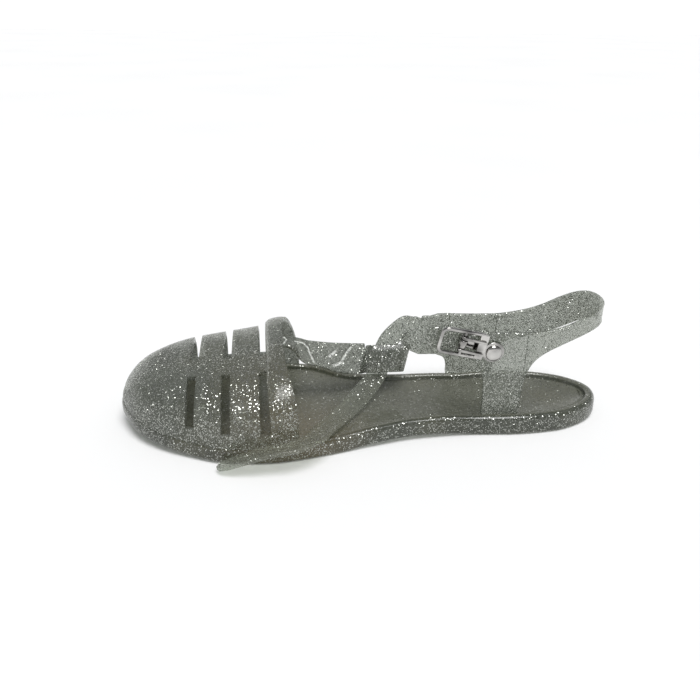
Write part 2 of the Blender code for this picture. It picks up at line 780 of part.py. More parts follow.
def rod(radius, length, centre, sides=24, axis="Y"):
    """Returns a bmesh cylinder along Y or Z."""
    bm = bmesh.new()
    bmesh.ops.create_cone(
        bm, cap_ends=True, segments=sides, radius1=radius, radius2=radius, depth=length
    )
    if axis == "Y":
        bm.transform(Matrix.Rotation(math.pi / 2, 4, "X"))
    bmesh.ops.translate(bm, vec=centre, verts=bm.verts)
    return bm


def combine(target, tool, operation):
    """Adds a Boolean of a helper object and applies it."""
    modifier = target.modifiers.new(tool.name, "BOOLEAN")
    modifier.operation = operation
    modifier.solver = "EXACT"
    modifier.object = tool


def helper(name, bm, placement, collection, parent):
    """Makes a hidden wire object that a Boolean uses."""
    mesh = bpy.data.meshes.new(name)
    bmesh.ops.recalc_face_normals(bm, faces=bm.faces)
    bm.to_mesh(mesh)
    bm.free()
    result = bpy.data.objects.new(name, mesh)
    result.matrix_local = placement
    result.display_type = "WIRE"
    result.hide_render = True
    collection.objects.link(result)
    result.parent = parent
    return result


def rounded_loop(length, width, corner, arch, turns=4):
    """Points of a rounded rectangle whose ends lie lower than its middle by arch."""
    points = []
    for quarter in range(4):
        sign_x = 1 if quarter in (0, 3) else -1
        sign_y = 1 if quarter in (0, 1) else -1
        for step in range(turns + 1):
            angle = (quarter + step / turns) * math.pi / 2
            x = sign_x * (length / 2 - corner) + corner * math.cos(angle)
            y = sign_y * (width / 2 - corner) + corner * math.sin(angle)
            points.append((x, y, -arch * (2 * x / length) ** 2))
    return points


def build_frame(metal, collection, cutters, root):
    """The buckle frame: rolled-edge loop, centre bar and hood over its heel end."""
    inner_length = FRAME_LENGTH - FRAME_WIRE
    inner_width = FRAME_WIDTH - FRAME_WIRE
    loop = rounded_loop(inner_length, inner_width, FRAME_CORNER, 0.0004)
    frame = make_object(
        "buckle_frame", tube("frame_wire", loop, FRAME_WIRE / 2, cyclic=True), metal, collection, root
    )
    bar = rod(BAR_RADIUS, inner_width, (0, 0, 0))
    hood_x = -(inner_length / 2 - HOOD_WIDTH / 2 + 0.0004)
    hood = block(
        (HOOD_WIDTH, inner_width + 0.0004, HOOD_THICK), (hood_x, 0, FRAME_WIRE / 2 - 0.0001), 0.0003
    )
    combine(frame, helper("bar_join", bar, Matrix(), cutters, frame), "UNION")
    combine(frame, helper("hood_join", hood, Matrix(), cutters, frame), "UNION")
    return frame


def build_prong(name, side, metal, collection, cutters, root):
    """One prong: an eye round the bar and a tapered blade over the hood."""
    eye_radius = BAR_RADIUS + TURN_GAP + PRONG_THICK * 0.8
    y = side * PRONG_SPREAD / 2
    prong = make_object(name, rod(eye_radius, PRONG_WIDTH, (0, y, 0)), metal, collection, root)
    top = FRAME_WIRE / 2 + HOOD_THICK / 2 - 0.0001 + TURN_GAP + PRONG_THICK
    stations = (
        (0.0002, eye_radius - PRONG_THICK, eye_radius, 1.0),
        (-0.30 * PRONG_REACH, eye_radius - 0.8 * PRONG_THICK, eye_radius + 0.0003, 1.0),
        (-0.70 * PRONG_REACH, top - PRONG_THICK, top, 0.85),
        (-0.93 * PRONG_REACH, top - PRONG_THICK, top, 0.65),
        (-PRONG_REACH, top - 0.8 * PRONG_THICK, top - 0.35 * PRONG_THICK, 0.40),
    )
    blade = bmesh.new()
    rings = []
    for x, low, high, share in stations:
        half = share * PRONG_WIDTH / 2
        rings.append([
            blade.verts.new((x, y + dy * half, low if z < 0 else high))
            for dy, z in ((-1, -1), (1, -1), (1, 1), (-1, 1))
        ])
    for first, second in zip(rings, rings[1:]):
        stitch(blade, first, second)
    blade.faces.new(rings[0])
    blade.faces.new(rings[-1])
    combine(prong, helper(name + "_blade", blade, Matrix(), cutters, prong), "UNION")
    bore = rod(BAR_RADIUS + TURN_GAP, 2 * PRONG_WIDTH, (0, y, 0))
    combine(prong, helper(name + "_bore", bore, Matrix(), cutters, prong), "DIFFERENCE")
    return prong


def build_tab(metal, collection, cutters, root):
    """The folded metal tab: an eye round the bar, a slanting leaf under the hood, a disc."""
    eye_radius = BAR_RADIUS + TURN_GAP + TAB_THICK
    tab = make_object("buckle_tab", rod(eye_radius, TAB_WIDTH, (0, 0, 0)), metal, collection, root)
    low = -BAR_RISE + SEAT_GAP
    leaf = bmesh.new()
    rings = []
    stations = (
        (0.0, 0.0, -eye_radius, 1.0),
        (-0.0016, 0.0, -eye_radius, 1.0),
        (-0.0042, 0.18 * RIVET_DROP, low, 1.1),
        (-RIVET_REACH + TAB_DISC_RADIUS * 0.75, 0.78 * RIVET_DROP, low, 1.3),
        (-RIVET_REACH, RIVET_DROP, low, 1.9),
    )
    for x, y, bottom, share in stations:
        half = share * TAB_WIDTH / 2
        top = bottom + TAB_THICK
        corners = ((y - half, bottom), (y + half, bottom), (y + half, top), (y - half, top))
        rings.append([leaf.verts.new((x, side, z)) for side, z in corners])
    for first, second in zip(rings, rings[1:]):
        stitch(leaf, first, second)
    leaf.faces.new(rings[0])
    leaf.faces.new(rings[-1])
    disc = rod(TAB_DISC_RADIUS, TAB_THICK, (-RIVET_REACH, RIVET_DROP, low + TAB_THICK / 2), 40, "Z")
    bore = rod(BAR_RADIUS + TURN_GAP, 2 * TAB_WIDTH, (0, 0, 0))
    hole = rod(RIVET_SHANK_RADIUS + RIVET_CLEARANCE, 4 * TAB_THICK, (-RIVET_REACH, RIVET_DROP, low), 24, "Z")
    combine(tab, helper("tab_leaf", leaf, Matrix(), cutters, tab), "UNION")
    combine(tab, helper("tab_disc", disc, Matrix(), cutters, tab), "UNION")
    combine(tab, helper("tab_bore", bore, Matrix(), cutters, tab), "DIFFERENCE")
    combine(tab, helper("tab_hole", hole, Matrix(), cutters, tab), "DIFFERENCE")
    return tab


def build_rivet(metal, collection, root):
    """The rivet: domed head, shank through tab and strap, and a flat foot inside."""
    seat = -BAR_RISE + SEAT_GAP + TAB_THICK + SEAT_GAP
    foot = -BAR_RISE - STRAP_THICK - SEAT_GAP
    profile = [(0, seat + RIVET_HEAD_HEIGHT)]
    for step in range(1, 6):
        angle = math.pi / 2 * (1 - step / 5)
        profile.append((
            RIVET_HEAD_RADIUS * math.cos(angle),
            seat + 0.0004 + (RIVET_HEAD_HEIGHT - 0.0004) * math.sin(angle),
        ))
    profile += [
        (RIVET_HEAD_RADIUS, seat),
        (RIVET_SHANK_RADIUS, seat),
        (RIVET_SHANK_RADIUS, foot),
        (RIVET_FOOT_RADIUS, foot),
        (RIVET_FOOT_RADIUS, foot - RIVET_FOOT_THICK),
        (0, foot - RIVET_FOOT_THICK),
    ]
    mesh = bpy.data.meshes.new("rivet")
    edges = [(index, index + 1) for index in range(len(profile) - 1)]
    mesh.from_pydata([(x, 0, z) for x, z in profile], edges, [])
    mesh.materials.append(metal)
    rivet = bpy.data.objects.new("rivet", mesh)
    rivet.location = (-RIVET_REACH, RIVET_DROP, 0)
    collection.objects.link(rivet)
    rivet.parent = root
    screw = rivet.modifiers.new("turn", "SCREW")
    screw.steps = 28
    screw.render_steps = 28
    screw.use_merge_vertices = True
    screw.merge_threshold = 0.00001
    screw.use_smooth_shade = True
    return rivet


def new_collection(name):
    """Adds a collection to the scene."""
    collection = bpy.data.collections.new(name)
    bpy.context.scene.collection.children.link(collection)
    return collection


def new_empty(name, collection, placement, parent=None):
    """Adds an empty that others hang from."""
    empty = bpy.data.objects.new(name, None)
    empty.empty_display_size = 0.01
    collection.objects.link(empty)
    empty.matrix_local = placement
    empty.parent = parent
    return empty


def main():
    for old in list(bpy.data.objects):
        bpy.data.objects.remove(old)
    parts = new_collection("jelly_sandal")
    cutters = new_collection("cutters")
    jelly = make_material("clear_grey_jelly", (0.42, 0.44, 0.41), 0.22, 0.0)
    sole_jelly = make_material("dark_grey_jelly", (0.20, 0.21, 0.19), 0.25, 0.0)
    nickel = make_material("bright_nickel", (0.62, 0.61, 0.59), 0.18, 1.0)

    shoe = new_empty("sandal", parts, Matrix.Translation((-HEEL_CENTRE, 0, 0)))
    make_object("sole", build_sole(), sole_jelly, parts, shoe)

    cage = make_object("toe_upper", build_cage(), jelly, parts, shoe)
    combine(cage, helper("t_strap_join", build_t_strap(), Matrix(), cutters, shoe), "UNION")
    combine(cage, helper("loop_join", build_loop(), Matrix(), cutters, shoe), "UNION")

    harness = make_object("heel_upper", build_harness(), jelly, parts, shoe)

    buckle = new_empty("buckle_axis", parts, buckle_matrix(), shoe)
    build_frame(nickel, parts, cutters, buckle)
    build_prong("prong_upper", -1, nickel, parts, cutters, buckle)
    build_prong("prong_lower", 1, nickel, parts, cutters, buckle)
    build_tab(nickel, parts, cutters, buckle)
    build_rivet(nickel, parts, buckle)
    spot = (-RIVET_REACH, RIVET_DROP, -BAR_RISE)
    hole = rod(RIVET_SHANK_RADIUS + RIVET_CLEARANCE, 4 * STRAP_THICK, spot, 24, "Z")
    combine(harness, helper("rivet_hole", hole, Matrix(), cutters, buckle), "DIFFERENCE")


main()
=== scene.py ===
"""Looks for the jelly sandal: finer moulded forms, glitter plastic, bright buckle, light."""

import math

import bmesh
import bpy
from mathutils import Matrix, Vector


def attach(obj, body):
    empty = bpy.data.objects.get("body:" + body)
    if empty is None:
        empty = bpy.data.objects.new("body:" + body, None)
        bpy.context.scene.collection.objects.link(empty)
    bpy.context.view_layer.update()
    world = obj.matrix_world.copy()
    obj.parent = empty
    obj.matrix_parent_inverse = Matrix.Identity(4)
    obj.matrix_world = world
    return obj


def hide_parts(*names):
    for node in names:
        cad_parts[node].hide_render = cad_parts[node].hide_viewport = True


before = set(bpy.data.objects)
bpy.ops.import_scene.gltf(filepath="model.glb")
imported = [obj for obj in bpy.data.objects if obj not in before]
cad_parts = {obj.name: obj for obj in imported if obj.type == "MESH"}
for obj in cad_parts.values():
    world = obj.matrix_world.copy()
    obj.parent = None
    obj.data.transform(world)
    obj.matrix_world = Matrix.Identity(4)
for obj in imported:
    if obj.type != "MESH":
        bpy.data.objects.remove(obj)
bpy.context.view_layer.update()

# Sizes of the shoe, in metres, with x from the heel end. HEEL_CENTRE is the row's origin.
SOLE_LENGTH = 0.245
BALL_WIDTH = 0.0905
SOLE_THICK = 0.010
TOE_SPRING = 0.0065
WAIST_LIFT = 0.0018
SOLE_EDGE_RADIUS = 0.0032
RIM_WIDTH = 0.0046
FOOTBED_DROP = 0.0019
FOOTBED_DISH = 0.0009
HEEL_CENTRE = 0.032
WALL = 0.0022
RIM_STEP = 0.0028
CAGE_HEIGHT = 0.0425
CAGE_ROUNDNESS = 3.0
INNER_ROUNDNESS = 4.0
MUDGUARD_HEIGHT = 0.0060
CENTRE_STRIP_WIDTH = 0.0154
CENTRE_STRIP_OFFSET = 0.0156
CENTRE_STRIP_SLANT = 0.042
CAGE_SKEW = 0.07
CENTRE_STRIP_RAISE = 0.0005
STRIP_CROWN = 0.0020
TOE_GROOVE = 0.0015
THROAT_SWEEP = 0.0055
THROAT_FLARE = 0.0045
T_STRAP_WIDTH = 0.0115
T_STRAP_THICK = 0.0020
LOOP_LENGTH = 0.0238
LOOP_GAP = 0.0050
LOOP_HEIGHT = 0.0144
LOOP_WALL = 0.0018
LOOP_BITE = 0.0016
LOOP_DROP = 0.0006
LOOP_TILT = math.radians(23.5)
LOOP_SLANT = 0.30
HARNESS_HEIGHT = 0.063
HARNESS_DEPTH = 0.0355
HARNESS_WIDTH = 0.0512
HARNESS_SETBACK = 0.0045
HARNESS_OFFSET = 0.0035
LEAN_HEIGHT = 0.048
OUTER_LEAN = 0.120
INNER_LEAN = 0.080
STRAP_WIDTH = 0.0110
STRAP_THICK = 0.0021
BUCKLE_ALONG = 0.3298
BUCKLE_LEVEL = 0.8333
BUCKLE_SLOPE = math.radians(13)
FRAME_LENGTH = 0.0236
FRAME_WIDTH = 0.0140
FRAME_WIRE = 0.0018
FRAME_CORNER = 0.0026
FRAME_ARCH = 0.0004
BAR_RADIUS = 0.0008
BAR_RISE = 0.0027
TURN_GAP = 0.0003
SEAT_GAP = 0.0003
HOOD_WIDTH = 0.0042
HOOD_THICK = 0.0010
HOOD_OVERHANG = 0.0004
HOOD_DROP = 0.00035
HOOD_SINK = 0.0001
PRONG_WIDTH = 0.0015
PRONG_THICK = 0.0010
PRONG_SPREAD = 0.0064
PRONG_REACH = 0.0108
PRONG_EDGE = 0.00018
TAB_WIDTH = 0.0038
TAB_THICK = 0.0008
TAB_DISC_RADIUS = 0.0053
TAB_EDGE = 0.0002
RIVET_REACH = 0.0168
RIVET_DROP = 0.0028
RIVET_HEAD_RADIUS = 0.0040
RIVET_HEAD_HEIGHT = 0.0021
RIVET_HEAD_RIM = 0.0004
RIVET_SHANK_RADIUS = 0.0012
RIVET_FOOT_RADIUS = 0.0028
RIVET_FOOT_THICK = 0.0007
SINK = 0.0010

# along, outer half-width, inner half-width
OUTLINE_ROWS = (
    (0.000, 0.005, 0.005),
    (0.020, 0.157, -0.122),
    (0.060, 0.250, -0.212),
    (0.120, 0.315, -0.272),
    (0.200, 0.334, -0.300),
    (0.300, 0.320, -0.286),
    (0.400, 0.340, -0.280),
    (0.500, 0.402, -0.324),
    (0.600, 0.480, -0.508),
    (0.700, 0.531, -0.546),
    (0.780, 0.512, -0.528),
    (0.860, 0.426, -0.474),
    (0.920, 0.328, -0.378),
    (0.960, 0.222, -0.282),
    (0.985, 0.104, -0.180),
    (1.000, -0.045, -0.045),
)

# along, lift, spring, thick
PROFILE_ROWS = (
    (0.00, 0.0, 0.00, 1.03),
    (0.12, 0.0, 0.00, 1.03),
    (0.27, 0.0, 0.00, 1.00),
    (0.34, 0.7, 0.00, 0.95),
    (0.42, 1.0, 0.00, 0.90),
    (0.50, 0.7, 0.00, 0.89),
    (0.57, 0.0, 0.00, 0.92),
    (0.74, 0.0, 0.00, 0.89),
    (0.82, 0.0, 0.10, 0.87),
    (0.90, 0.0, 0.36, 0.84),
    (0.96, 0.0, 0.70, 0.81),
    (1.00, 0.0, 1.00, 0.80),
)

# Round the sole's edge: inset and rise, as shares of SOLE_EDGE_RADIUS
EDGE_ROWS = (
    (1.10, 0.00),
    (0.85, 0.00),
    (0.58, 0.03),
    (0.36, 0.10),
    (0.20, 0.21),
    (0.08, 0.38),
    (0.02, 0.56),
    (0.00, 0.76),
    (0.00, -1.20),
    (0.00, -0.98),
    (0.04, -0.72),
    (0.13, -0.47),
    (0.28, -0.26),
    (0.50, -0.10),
    (0.76, -0.02),
    (1.00, 0.00),
)

# along to the cage's tip, crest above the rim, across its strip, kind
CAGE_ROWS = (
    (0.9992, 0.030, 0.0, "cap"),
    (0.9972, 0.102, 0.0, "cap"),
    (0.9921, 0.206, 0.0, "cap"),
    (0.9837, 0.304, 0.0, "cap"),
    (0.9721, 0.398, 0.0, "cap"),
    (0.9559, 0.481, 0.0, "cap"),
    (0.9529, 0.492, 0.0, "cap"),
    (0.9493, 0.506, 0.0, "cap"),
    (0.9390, 0.537, 0.0, "groove"),
    (0.9130, 0.599, 0.0, "strip"),
    (0.9050, 0.612, 0.18, "strip"),
    (0.8890, 0.634, 0.5, "strip"),
    (0.8730, 0.653, 0.82, "strip"),
    (0.8644, 0.661, 1.0, "gap"),
    (0.8467, 0.677, 0.0, "strip"),
    (0.8386, 0.685, 0.18, "strip"),
    (0.8219, 0.698, 0.5, "strip"),
    (0.8052, 0.712, 0.82, "strip"),
    (0.7971, 0.719, 1.0, "gap"),
    (0.7799, 0.735, 0.0, "strip"),
    (0.7708, 0.743, 0.18, "strip"),
    (0.7521, 0.761, 0.5, "strip"),
    (0.7324, 0.783, 0.82, "strip"),
    (0.7243, 0.793, 1.0, "gap"),
    (0.7046, 0.859, 0.0, "throat"),
    (0.6980, 0.904, 0.18, "throat"),
    (0.6793, 0.938, 0.5, "throat"),
    (0.6631, 0.951, 0.82, "throat"),
    (0.6535, 0.949, 1.0, "throat"),
)
THROAT_START = 0.7046
GROOVE_START = 0.9370
GROOVE_END = 0.9150

# along, side, height, turn, width
T_STRAP_ROWS = (
    (0.681, -0.045, 0.938, 0, 0.95),
    (0.657, -0.052, 0.925, -8, 0.93),
    (0.636, -0.068, 0.850, -38, 0.92),
    (0.615, -0.080, 0.764, -58, 1.08),
    (0.585, -0.092, 0.712, -64, 1.16),
    (0.545, -0.105, 0.648, -67, 1.37),
    (0.512, -0.118, 0.621, -67, 1.39),
    (0.492, -0.126, 0.618, -67, 1.34),
)

# along, side, low, high
HARNESS_ROWS = (
    (0.3990, 1, 0.850, 0.900),
    (0.3950, 1, 0.805, 0.930),
    (0.3850, 1, 0.772, 0.945),
    (0.3620, 1, 0.742, 0.944),
    (0.3330, 1, 0.706, 0.928),
    (0.3090, 1, 0.666, 0.912),
    (0.2940, 1, 0.620, 0.901),
    (0.2850, 1, 0.560, 0.895),
    (0.2780, 1, 0.470, 0.891),
    (0.2745, 1, 0.330, 0.889),
    (0.2720, 1, 0, 0.888),
    (0.2570, 1, 0, 0.883),
    (0.2350, 1, 0, 0.879),
    (0.2130, 1, 0, 0.877),
    (0.1985, 1, 0, 0.877),
    (0.1970, 1, 0.300, 0.877),
    (0.1945, 1, 0.430, 0.877),
    (0.1890, 1, 0.540, 0.877),
    (0.1780, 1, 0.625, 0.878),
    (0.1600, 1, 0.690, 0.886),
    (0.1330, 1, 0.745, 0.904),
    (0.1020, 1, 0.788, 0.936),
    (0.0720, 1, 0.815, 0.970),
    (0.0460, 1, 0.826, 0.992),
    (0.0300, 1, 0.828, 1.000),
    (0.0214, 1, 0.826, 1.000),
    (0.0184, 0, 0.812, 1.000),
    (0.0214, -1, 0.786, 1.000),
    (0.0300, -1, 0.744, 0.992),
    (0.0460, -1, 0.676, 0.960),
    (0.0720, -1, 0.594, 0.890),
    (0.1020, -1, 0.530, 0.808),
    (0.1330, -1, 0.492, 0.755),
    (0.1600, -1, 0.474, 0.731),
    (0.1780, -1, 0.440, 0.722),
    (0.1890, -1, 0.400, 0.717),
    (0.1945, -1, 0.330, 0.716),
    (0.1970, -1, 0.250, 0.715),
    (0.1985, -1, 0, 0.715),
    (0.2210, -1, 0, 0.715),
    (0.2510, -1, 0, 0.718),
    (0.2810, -1, 0, 0.722),
    (0.3010, -1, 0, 0.726),
    (0.3030, -1, 0.222, 0.727),
    (0.3070, -1, 0.285, 0.728),
    (0.3140, -1, 0.322, 0.729),
    (0.3280, -1, 0.345, 0.729),
)

# along, side, height, turn, half-width
STRAP_ROWS = (
    (0.3590, -0.232, 0.545, 88, 1.015),
    (0.3800, -0.232, 0.570, 87, 0.895),
    (0.3930, -0.227, 0.611, 84, 0.668),
    (0.4080, -0.208, 0.640, 76, 0.480),
    (0.4350, -0.168, 0.572, 58, 0.460),
    (0.4490, -0.146, 0.500, 48, 0.455),
    (0.4560, -0.124, 0.421, 38, 0.450),
    (0.4620, -0.107, 0.350, 34, 0.445),
    (0.4710, -0.076, 0.278, 36, 0.450),
    (0.5110, 0.066, 0.201, 22, 0.490),
    (0.5430, 0.188, 0.170, 9, 0.490),
    (0.5740, 0.312, 0.168, 2, 0.490),
    (0.5980, 0.426, 0.184, -2, 0.490),
    (0.6180, 0.518, 0.192, -7, 0.490),
    (0.6570, 0.595, 0.190, -8, 0.490),
    (0.7010, 0.603, 0.170, -6, 0.490),
    (0.7430, 0.597, 0.121, -4, 0.485),
    (0.7730, 0.583, 0.075, -2, 0.460),
    (0.7890, 0.568, 0.047, 0, 0.360),
    (0.7965, 0.562, 0.037, 0, 0.200),
)


def monotone(places, values):
    """A smooth function through the points that never overshoots them."""
    steps = [b - a for a, b in zip(places, places[1:])]
    slopes = [(b - a) / step for a, b, step in zip(values, values[1:], steps)]
    tangents = [slopes[0]]
    for before, after in zip(slopes, slopes[1:]):
        tangents.append(0.0 if before * after <= 0 else 2 * before * after / (before + after))
    tangents.append(slopes[-1])

    def value(place):
        place = min(max(place, places[0]), places[-1])
        index = 0
        while index < len(steps) - 1 and place > places[index + 1]:
            index += 1
        step = steps[index]
        share = (place - places[index]) / step
        square, cube = share ** 2, share ** 3
        return (
            (2 * cube - 3 * square + 1) * values[index]
            + (cube - 2 * square + share) * step * tangents[index]
            + (3 * square - 2 * cube) * values[index + 1]
            + (cube - square) * step * tangents[index + 1]
        )

    return value


ALONGS = [row[0] for row in PROFILE_ROWS]
LIFT, SPRING, THICKNESS = (monotone(ALONGS, [row[c] for row in PROFILE_ROWS]) for c in (1, 2, 3))


def tread_height(x):
    along = x / SOLE_LENGTH
    return WAIST_LIFT * LIFT(along) + TOE_SPRING * SPRING(along)


def rim_height(x):
    return tread_height(x) + SOLE_THICK * THICKNESS(x / SOLE_LENGTH)


def outline(steps, inset=0.0):
    """Outer and inner side of the sole from heel to toe, moved inwards by inset."""
    angles = [math.acos(1 - 2 * row[0]) for row in OUTLINE_ROWS]
    outer = monotone(angles, [row[1] for row in OUTLINE_ROWS])
    inner = monotone(angles, [row[2] for row in OUTLINE_ROWS])
    turns = [math.pi * step / steps for step in range(steps + 1)]
    lengths = [SOLE_LENGTH * (1 - math.cos(turn)) / 2 for turn in turns]
    loop = [Vector((x, BALL_WIDTH * outer(turn), 0)) for x, turn in zip(lengths, turns)]
    back = [Vector((x, BALL_WIDTH * inner(turn), 0)) for x, turn in zip(lengths, turns)]
    loop += back[-2:0:-1]
    count = len(loop)
    moved = []
    for index, point in enumerate(loop):
        run = (loop[(index + 1) % count] - loop[index - 1]).normalized()
        moved.append(point + Vector((run.y, -run.x, 0)) * inset)
    return moved[: steps + 1], [moved[0]] + moved[:steps:-1] + [moved[steps]]


def side_at(points, x):
    for first, second in zip(points, points[1:]):
        if first.x <= x <= second.x:
            share = (x - first.x) / max(second.x - first.x, 1e-9)
            return first.y + (second.y - first.y) * share
    return points[-1].y if x > points[-1].x else points[0].y


TO_ROW = Matrix.Translation((-HEEL_CENTRE, 0, 0))


def add(name, bm, materials, body, nodes=(), placement=TO_ROW, sharp=50):
    """Puts a bmesh into a smooth-shaded piece that rides on a body."""
    bm.transform(placement)
    bmesh.ops.recalc_face_normals(bm, faces=bm.faces)
    mesh = bpy.data.meshes.new(name)
    bm.to_mesh(mesh)
    bm.free()
    for material in materials:
        mesh.materials.append(material)
    mesh.shade_smooth()
    mesh.set_sharp_from_angle(angle=math.radians(sharp))
    piece = bpy.data.objects.new(name, mesh)
    bpy.context.scene.collection.objects.link(piece)
    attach(piece, body)
    if nodes:
        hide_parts(*nodes)
    return piece


def stitch(bm, first, second, closed=True, slot=0):
    """Joins two equally long rows of vertices with faces."""
    count = len(first)
    for index in range(count if closed else count - 1):
        after = (index + 1) % count
        corners = [first[index], first[after], second[after], second[index]]
        corners = [v for place, v in enumerate(corners) if v not in corners[:place]]
        if len(corners) > 2:
            bm.faces.new(corners).material_index = slot


def build_sole(steps=150, spans=10):
    """The sole with its rounded edge, rim, crease and dished footbed."""
    bm = bmesh.new()
    edge = [
        (row[0] * SOLE_EDGE_RADIUS, row[1] * SOLE_EDGE_RADIUS, place < len(EDGE_ROWS) / 2)
        for place, row in enumerate(EDGE_ROWS)
    ]
    edge += [
        (RIM_WIDTH - 0.0008, 0.0, False),
        (RIM_WIDTH - 0.0002, -0.08 * FOOTBED_DROP, False),
        (RIM_WIDTH + 0.0003, -0.45 * FOOTBED_DROP, False),
        (RIM_WIDTH + 0.0007, -1.12 * FOOTBED_DROP, False),
        (RIM_WIDTH + 0.0011, -1.20 * FOOTBED_DROP, False),
        (RIM_WIDTH + 0.0016, -1.04 * FOOTBED_DROP, False),
        (RIM_WIDTH + 0.0026, -1.00 * FOOTBED_DROP, False),
    ]

    def ring(inset, rise, from_tread):
        outer_side, inner_side = outline(steps, inset)
        loop = outer_side + inner_side[-2:0:-1]
        height = tread_height if from_tread else rim_height
        return [bm.verts.new((p.x, p.y, height(p.x) + rise)) for p in loop]

    rings = [ring(*values) for values in edge]
    for lower, upper, values, after in zip(rings, rings[1:], edge, edge[1:]):
        slot = 0
        # Slot 1 is painted shade: a dark line laid in the footbed's crease and along the sole's upper
        # rounding.
        if values[0] > RIM_WIDTH + 0.0002 and after[0] < RIM_WIDTH + 0.0012:
            slot = 1
        elif 0.45 * SOLE_EDGE_RADIUS < values[0] < 0.70 * SOLE_EDGE_RADIUS and not values[2]:
            slot = 1
        # Slot 2 is painted shade: the sole's side and lower edge take a darker copy of the sole
        # plastic.
        elif after[1] <= 0 and values[0] < 0.45 * SOLE_EDGE_RADIUS or values[2]:
            slot = 2
        stitch(bm, lower, upper, slot=slot)

    def fill(loop, height):
        rows = []
        for index in range(steps + 1):
            outer_vert = loop[index]
            inner_vert = loop[-index] if 0 < index < steps else outer_vert
            row = [outer_vert]
            if inner_vert is not outer_vert:
                for part in range(1, 2 * spans):
                    share = part / (2 * spans)
                    spot = outer_vert.co.lerp(inner_vert.co, share)
                    spot.z = height(spot.x, 4 * share * (1 - share))
                    row.append(bm.verts.new(spot))
                row.append(inner_vert)
            rows.append(row)
        for row, after in zip(rows, rows[1:]):
            if len(row) == 1:
                row = row * len(after)
            if len(after) == 1:
                after = after * len(row)
            stitch(bm, row, after, closed=False)

    fill(rings[0], lambda x, middle: tread_height(x))
    fill(rings[-1], lambda x, middle: rim_height(x) - FOOTBED_DROP - FOOTBED_DISH * middle)
    return bm


def fine_rows(sub):
    """Cage stations with sub steps to each interval: (along, crest, across, kind)."""
    index = list(range(len(CAGE_ROWS)))
    along = monotone(index, [row[0] for row in CAGE_ROWS])
    crest = monotone([-row[0] for row in CAGE_ROWS], [row[1] for row in CAGE_ROWS])
    rows = []
    for place, (row, after) in enumerate(zip(CAGE_ROWS, CAGE_ROWS[1:])):
        steps = max(2, round(abs(row[0] - after[0]) * SOLE_LENGTH / sub))
        for step in range(steps):
            share = step / steps
            spot = along(place + share)
            if row[3] == "gap" and step:
                across = 0.0
            else:
                across = row[2] + (after[2] - row[2]) * share if after[2] > row[2] else row[2]
            rows.append((spot, crest(-spot), across, row[3]))
    rows.append(CAGE_ROWS[-1])
    return rows


def cage_section(row, outer_side, inner_side, sub):
    x = outer_side[-1].x * row[0]
    low_y, high_y = side_at(inner_side, x), side_at(outer_side, x)
    middle, half = (low_y + high_y) / 2, (high_y - low_y) / 2
    floor = rim_height(x)
    height = (CAGE_HEIGHT - floor) * row[1]
    power, inner_power = 2 / CAGE_ROUNDNESS, 2 / INNER_ROUNDNESS

    def guard_angle(bend):
        return math.asin(min(MUDGUARD_HEIGHT / height, 0.9) ** (1 / bend))

    def angle_of_side(y):
        share = max(min((y - middle) / half, 0.75), -0.75)
        bend = power if share >= 0 else inner_power
        return math.acos(math.copysign(abs(share) ** (1 / bend), share))

    centre = CENTRE_STRIP_OFFSET - CENTRE_STRIP_SLANT * (row[0] - THROAT_START)
    strip_outer = angle_of_side(centre + CENTRE_STRIP_WIDTH / 2)
    strip_inner = angle_of_side(centre - CENTRE_STRIP_WIDTH / 2)
    bounds = [
        0.0,
        guard_angle(power),
        strip_outer,
        strip_inner,
        math.pi - guard_angle(inner_power),
        math.pi,
    ]
    zones = ("guard", "window", "centre", "window", "guard")
    counts = (2 * sub, 8 * sub, 5 * sub, 8 * sub, 2 * sub)
    behind_gap = min(max((THROAT_START - row[0]) / (THROAT_START - CAGE_ROWS[-1][0]), 0), 1)
    points = []
    for zone, count, first, last in zip(zones, counts, bounds, bounds[1:]):
        for step in range(count + (zone == "guard" and last == math.pi)):
            share = step / count
            angle = first + (last - first) * share
            cosine, sine = math.cos(angle), max(math.sin(angle), 0.0)
            bend = power if cosine >= 0 else inner_power
            y = middle + half * math.copysign(abs(cosine) ** bend, cosine)
            flare = THROAT_FLARE * (1 - sine) ** 2 if cosine < 0 else 0.0
            swept = x + behind_gap * (THROAT_SWEEP * sine ** 2 - flare)
            skewed = height * (1 - CAGE_SKEW * (y - middle) / half)
            points.append((Vector((swept, y, floor + skewed * sine ** bend)), zone, share))
    return points


def smooth_step(low, high, value):
    share = min(max((value - low) / (high - low), 0), 1)
    return share * share * (3 - 2 * share)


def cage_offset(row, zone, share):
    """How far the outer face stands proud of the plain wall."""
    along, _, across, kind = row
    crown = STRIP_CROWN * (1 - (2 * across - 1) ** 2) if across > 0 else 0.0
    if zone == "guard":
        return 0.0
    if zone == "centre":
        raised = CENTRE_STRIP_RAISE * min(1.0, 8 * share * (1 - share))
        return crown if kind == "throat" else raised + 0.3 * crown * (1 - abs(2 * share - 1))
    fade = smooth_step(0.0, 0.34, share) * smooth_step(1.0, 0.66, share)
    if kind == "throat":
        fade = smooth_step(0.0, 0.34, share)
    groove = smooth_step(GROOVE_START + 0.0016, GROOVE_START, along)
    groove *= smooth_step(GROOVE_END - 0.0016, GROOVE_END, along)
    groove *= smooth_step(0.0, 0.10, share) * smooth_step(1.0, 0.92, share)
    return crown * fade - TOE_GROOVE * groove


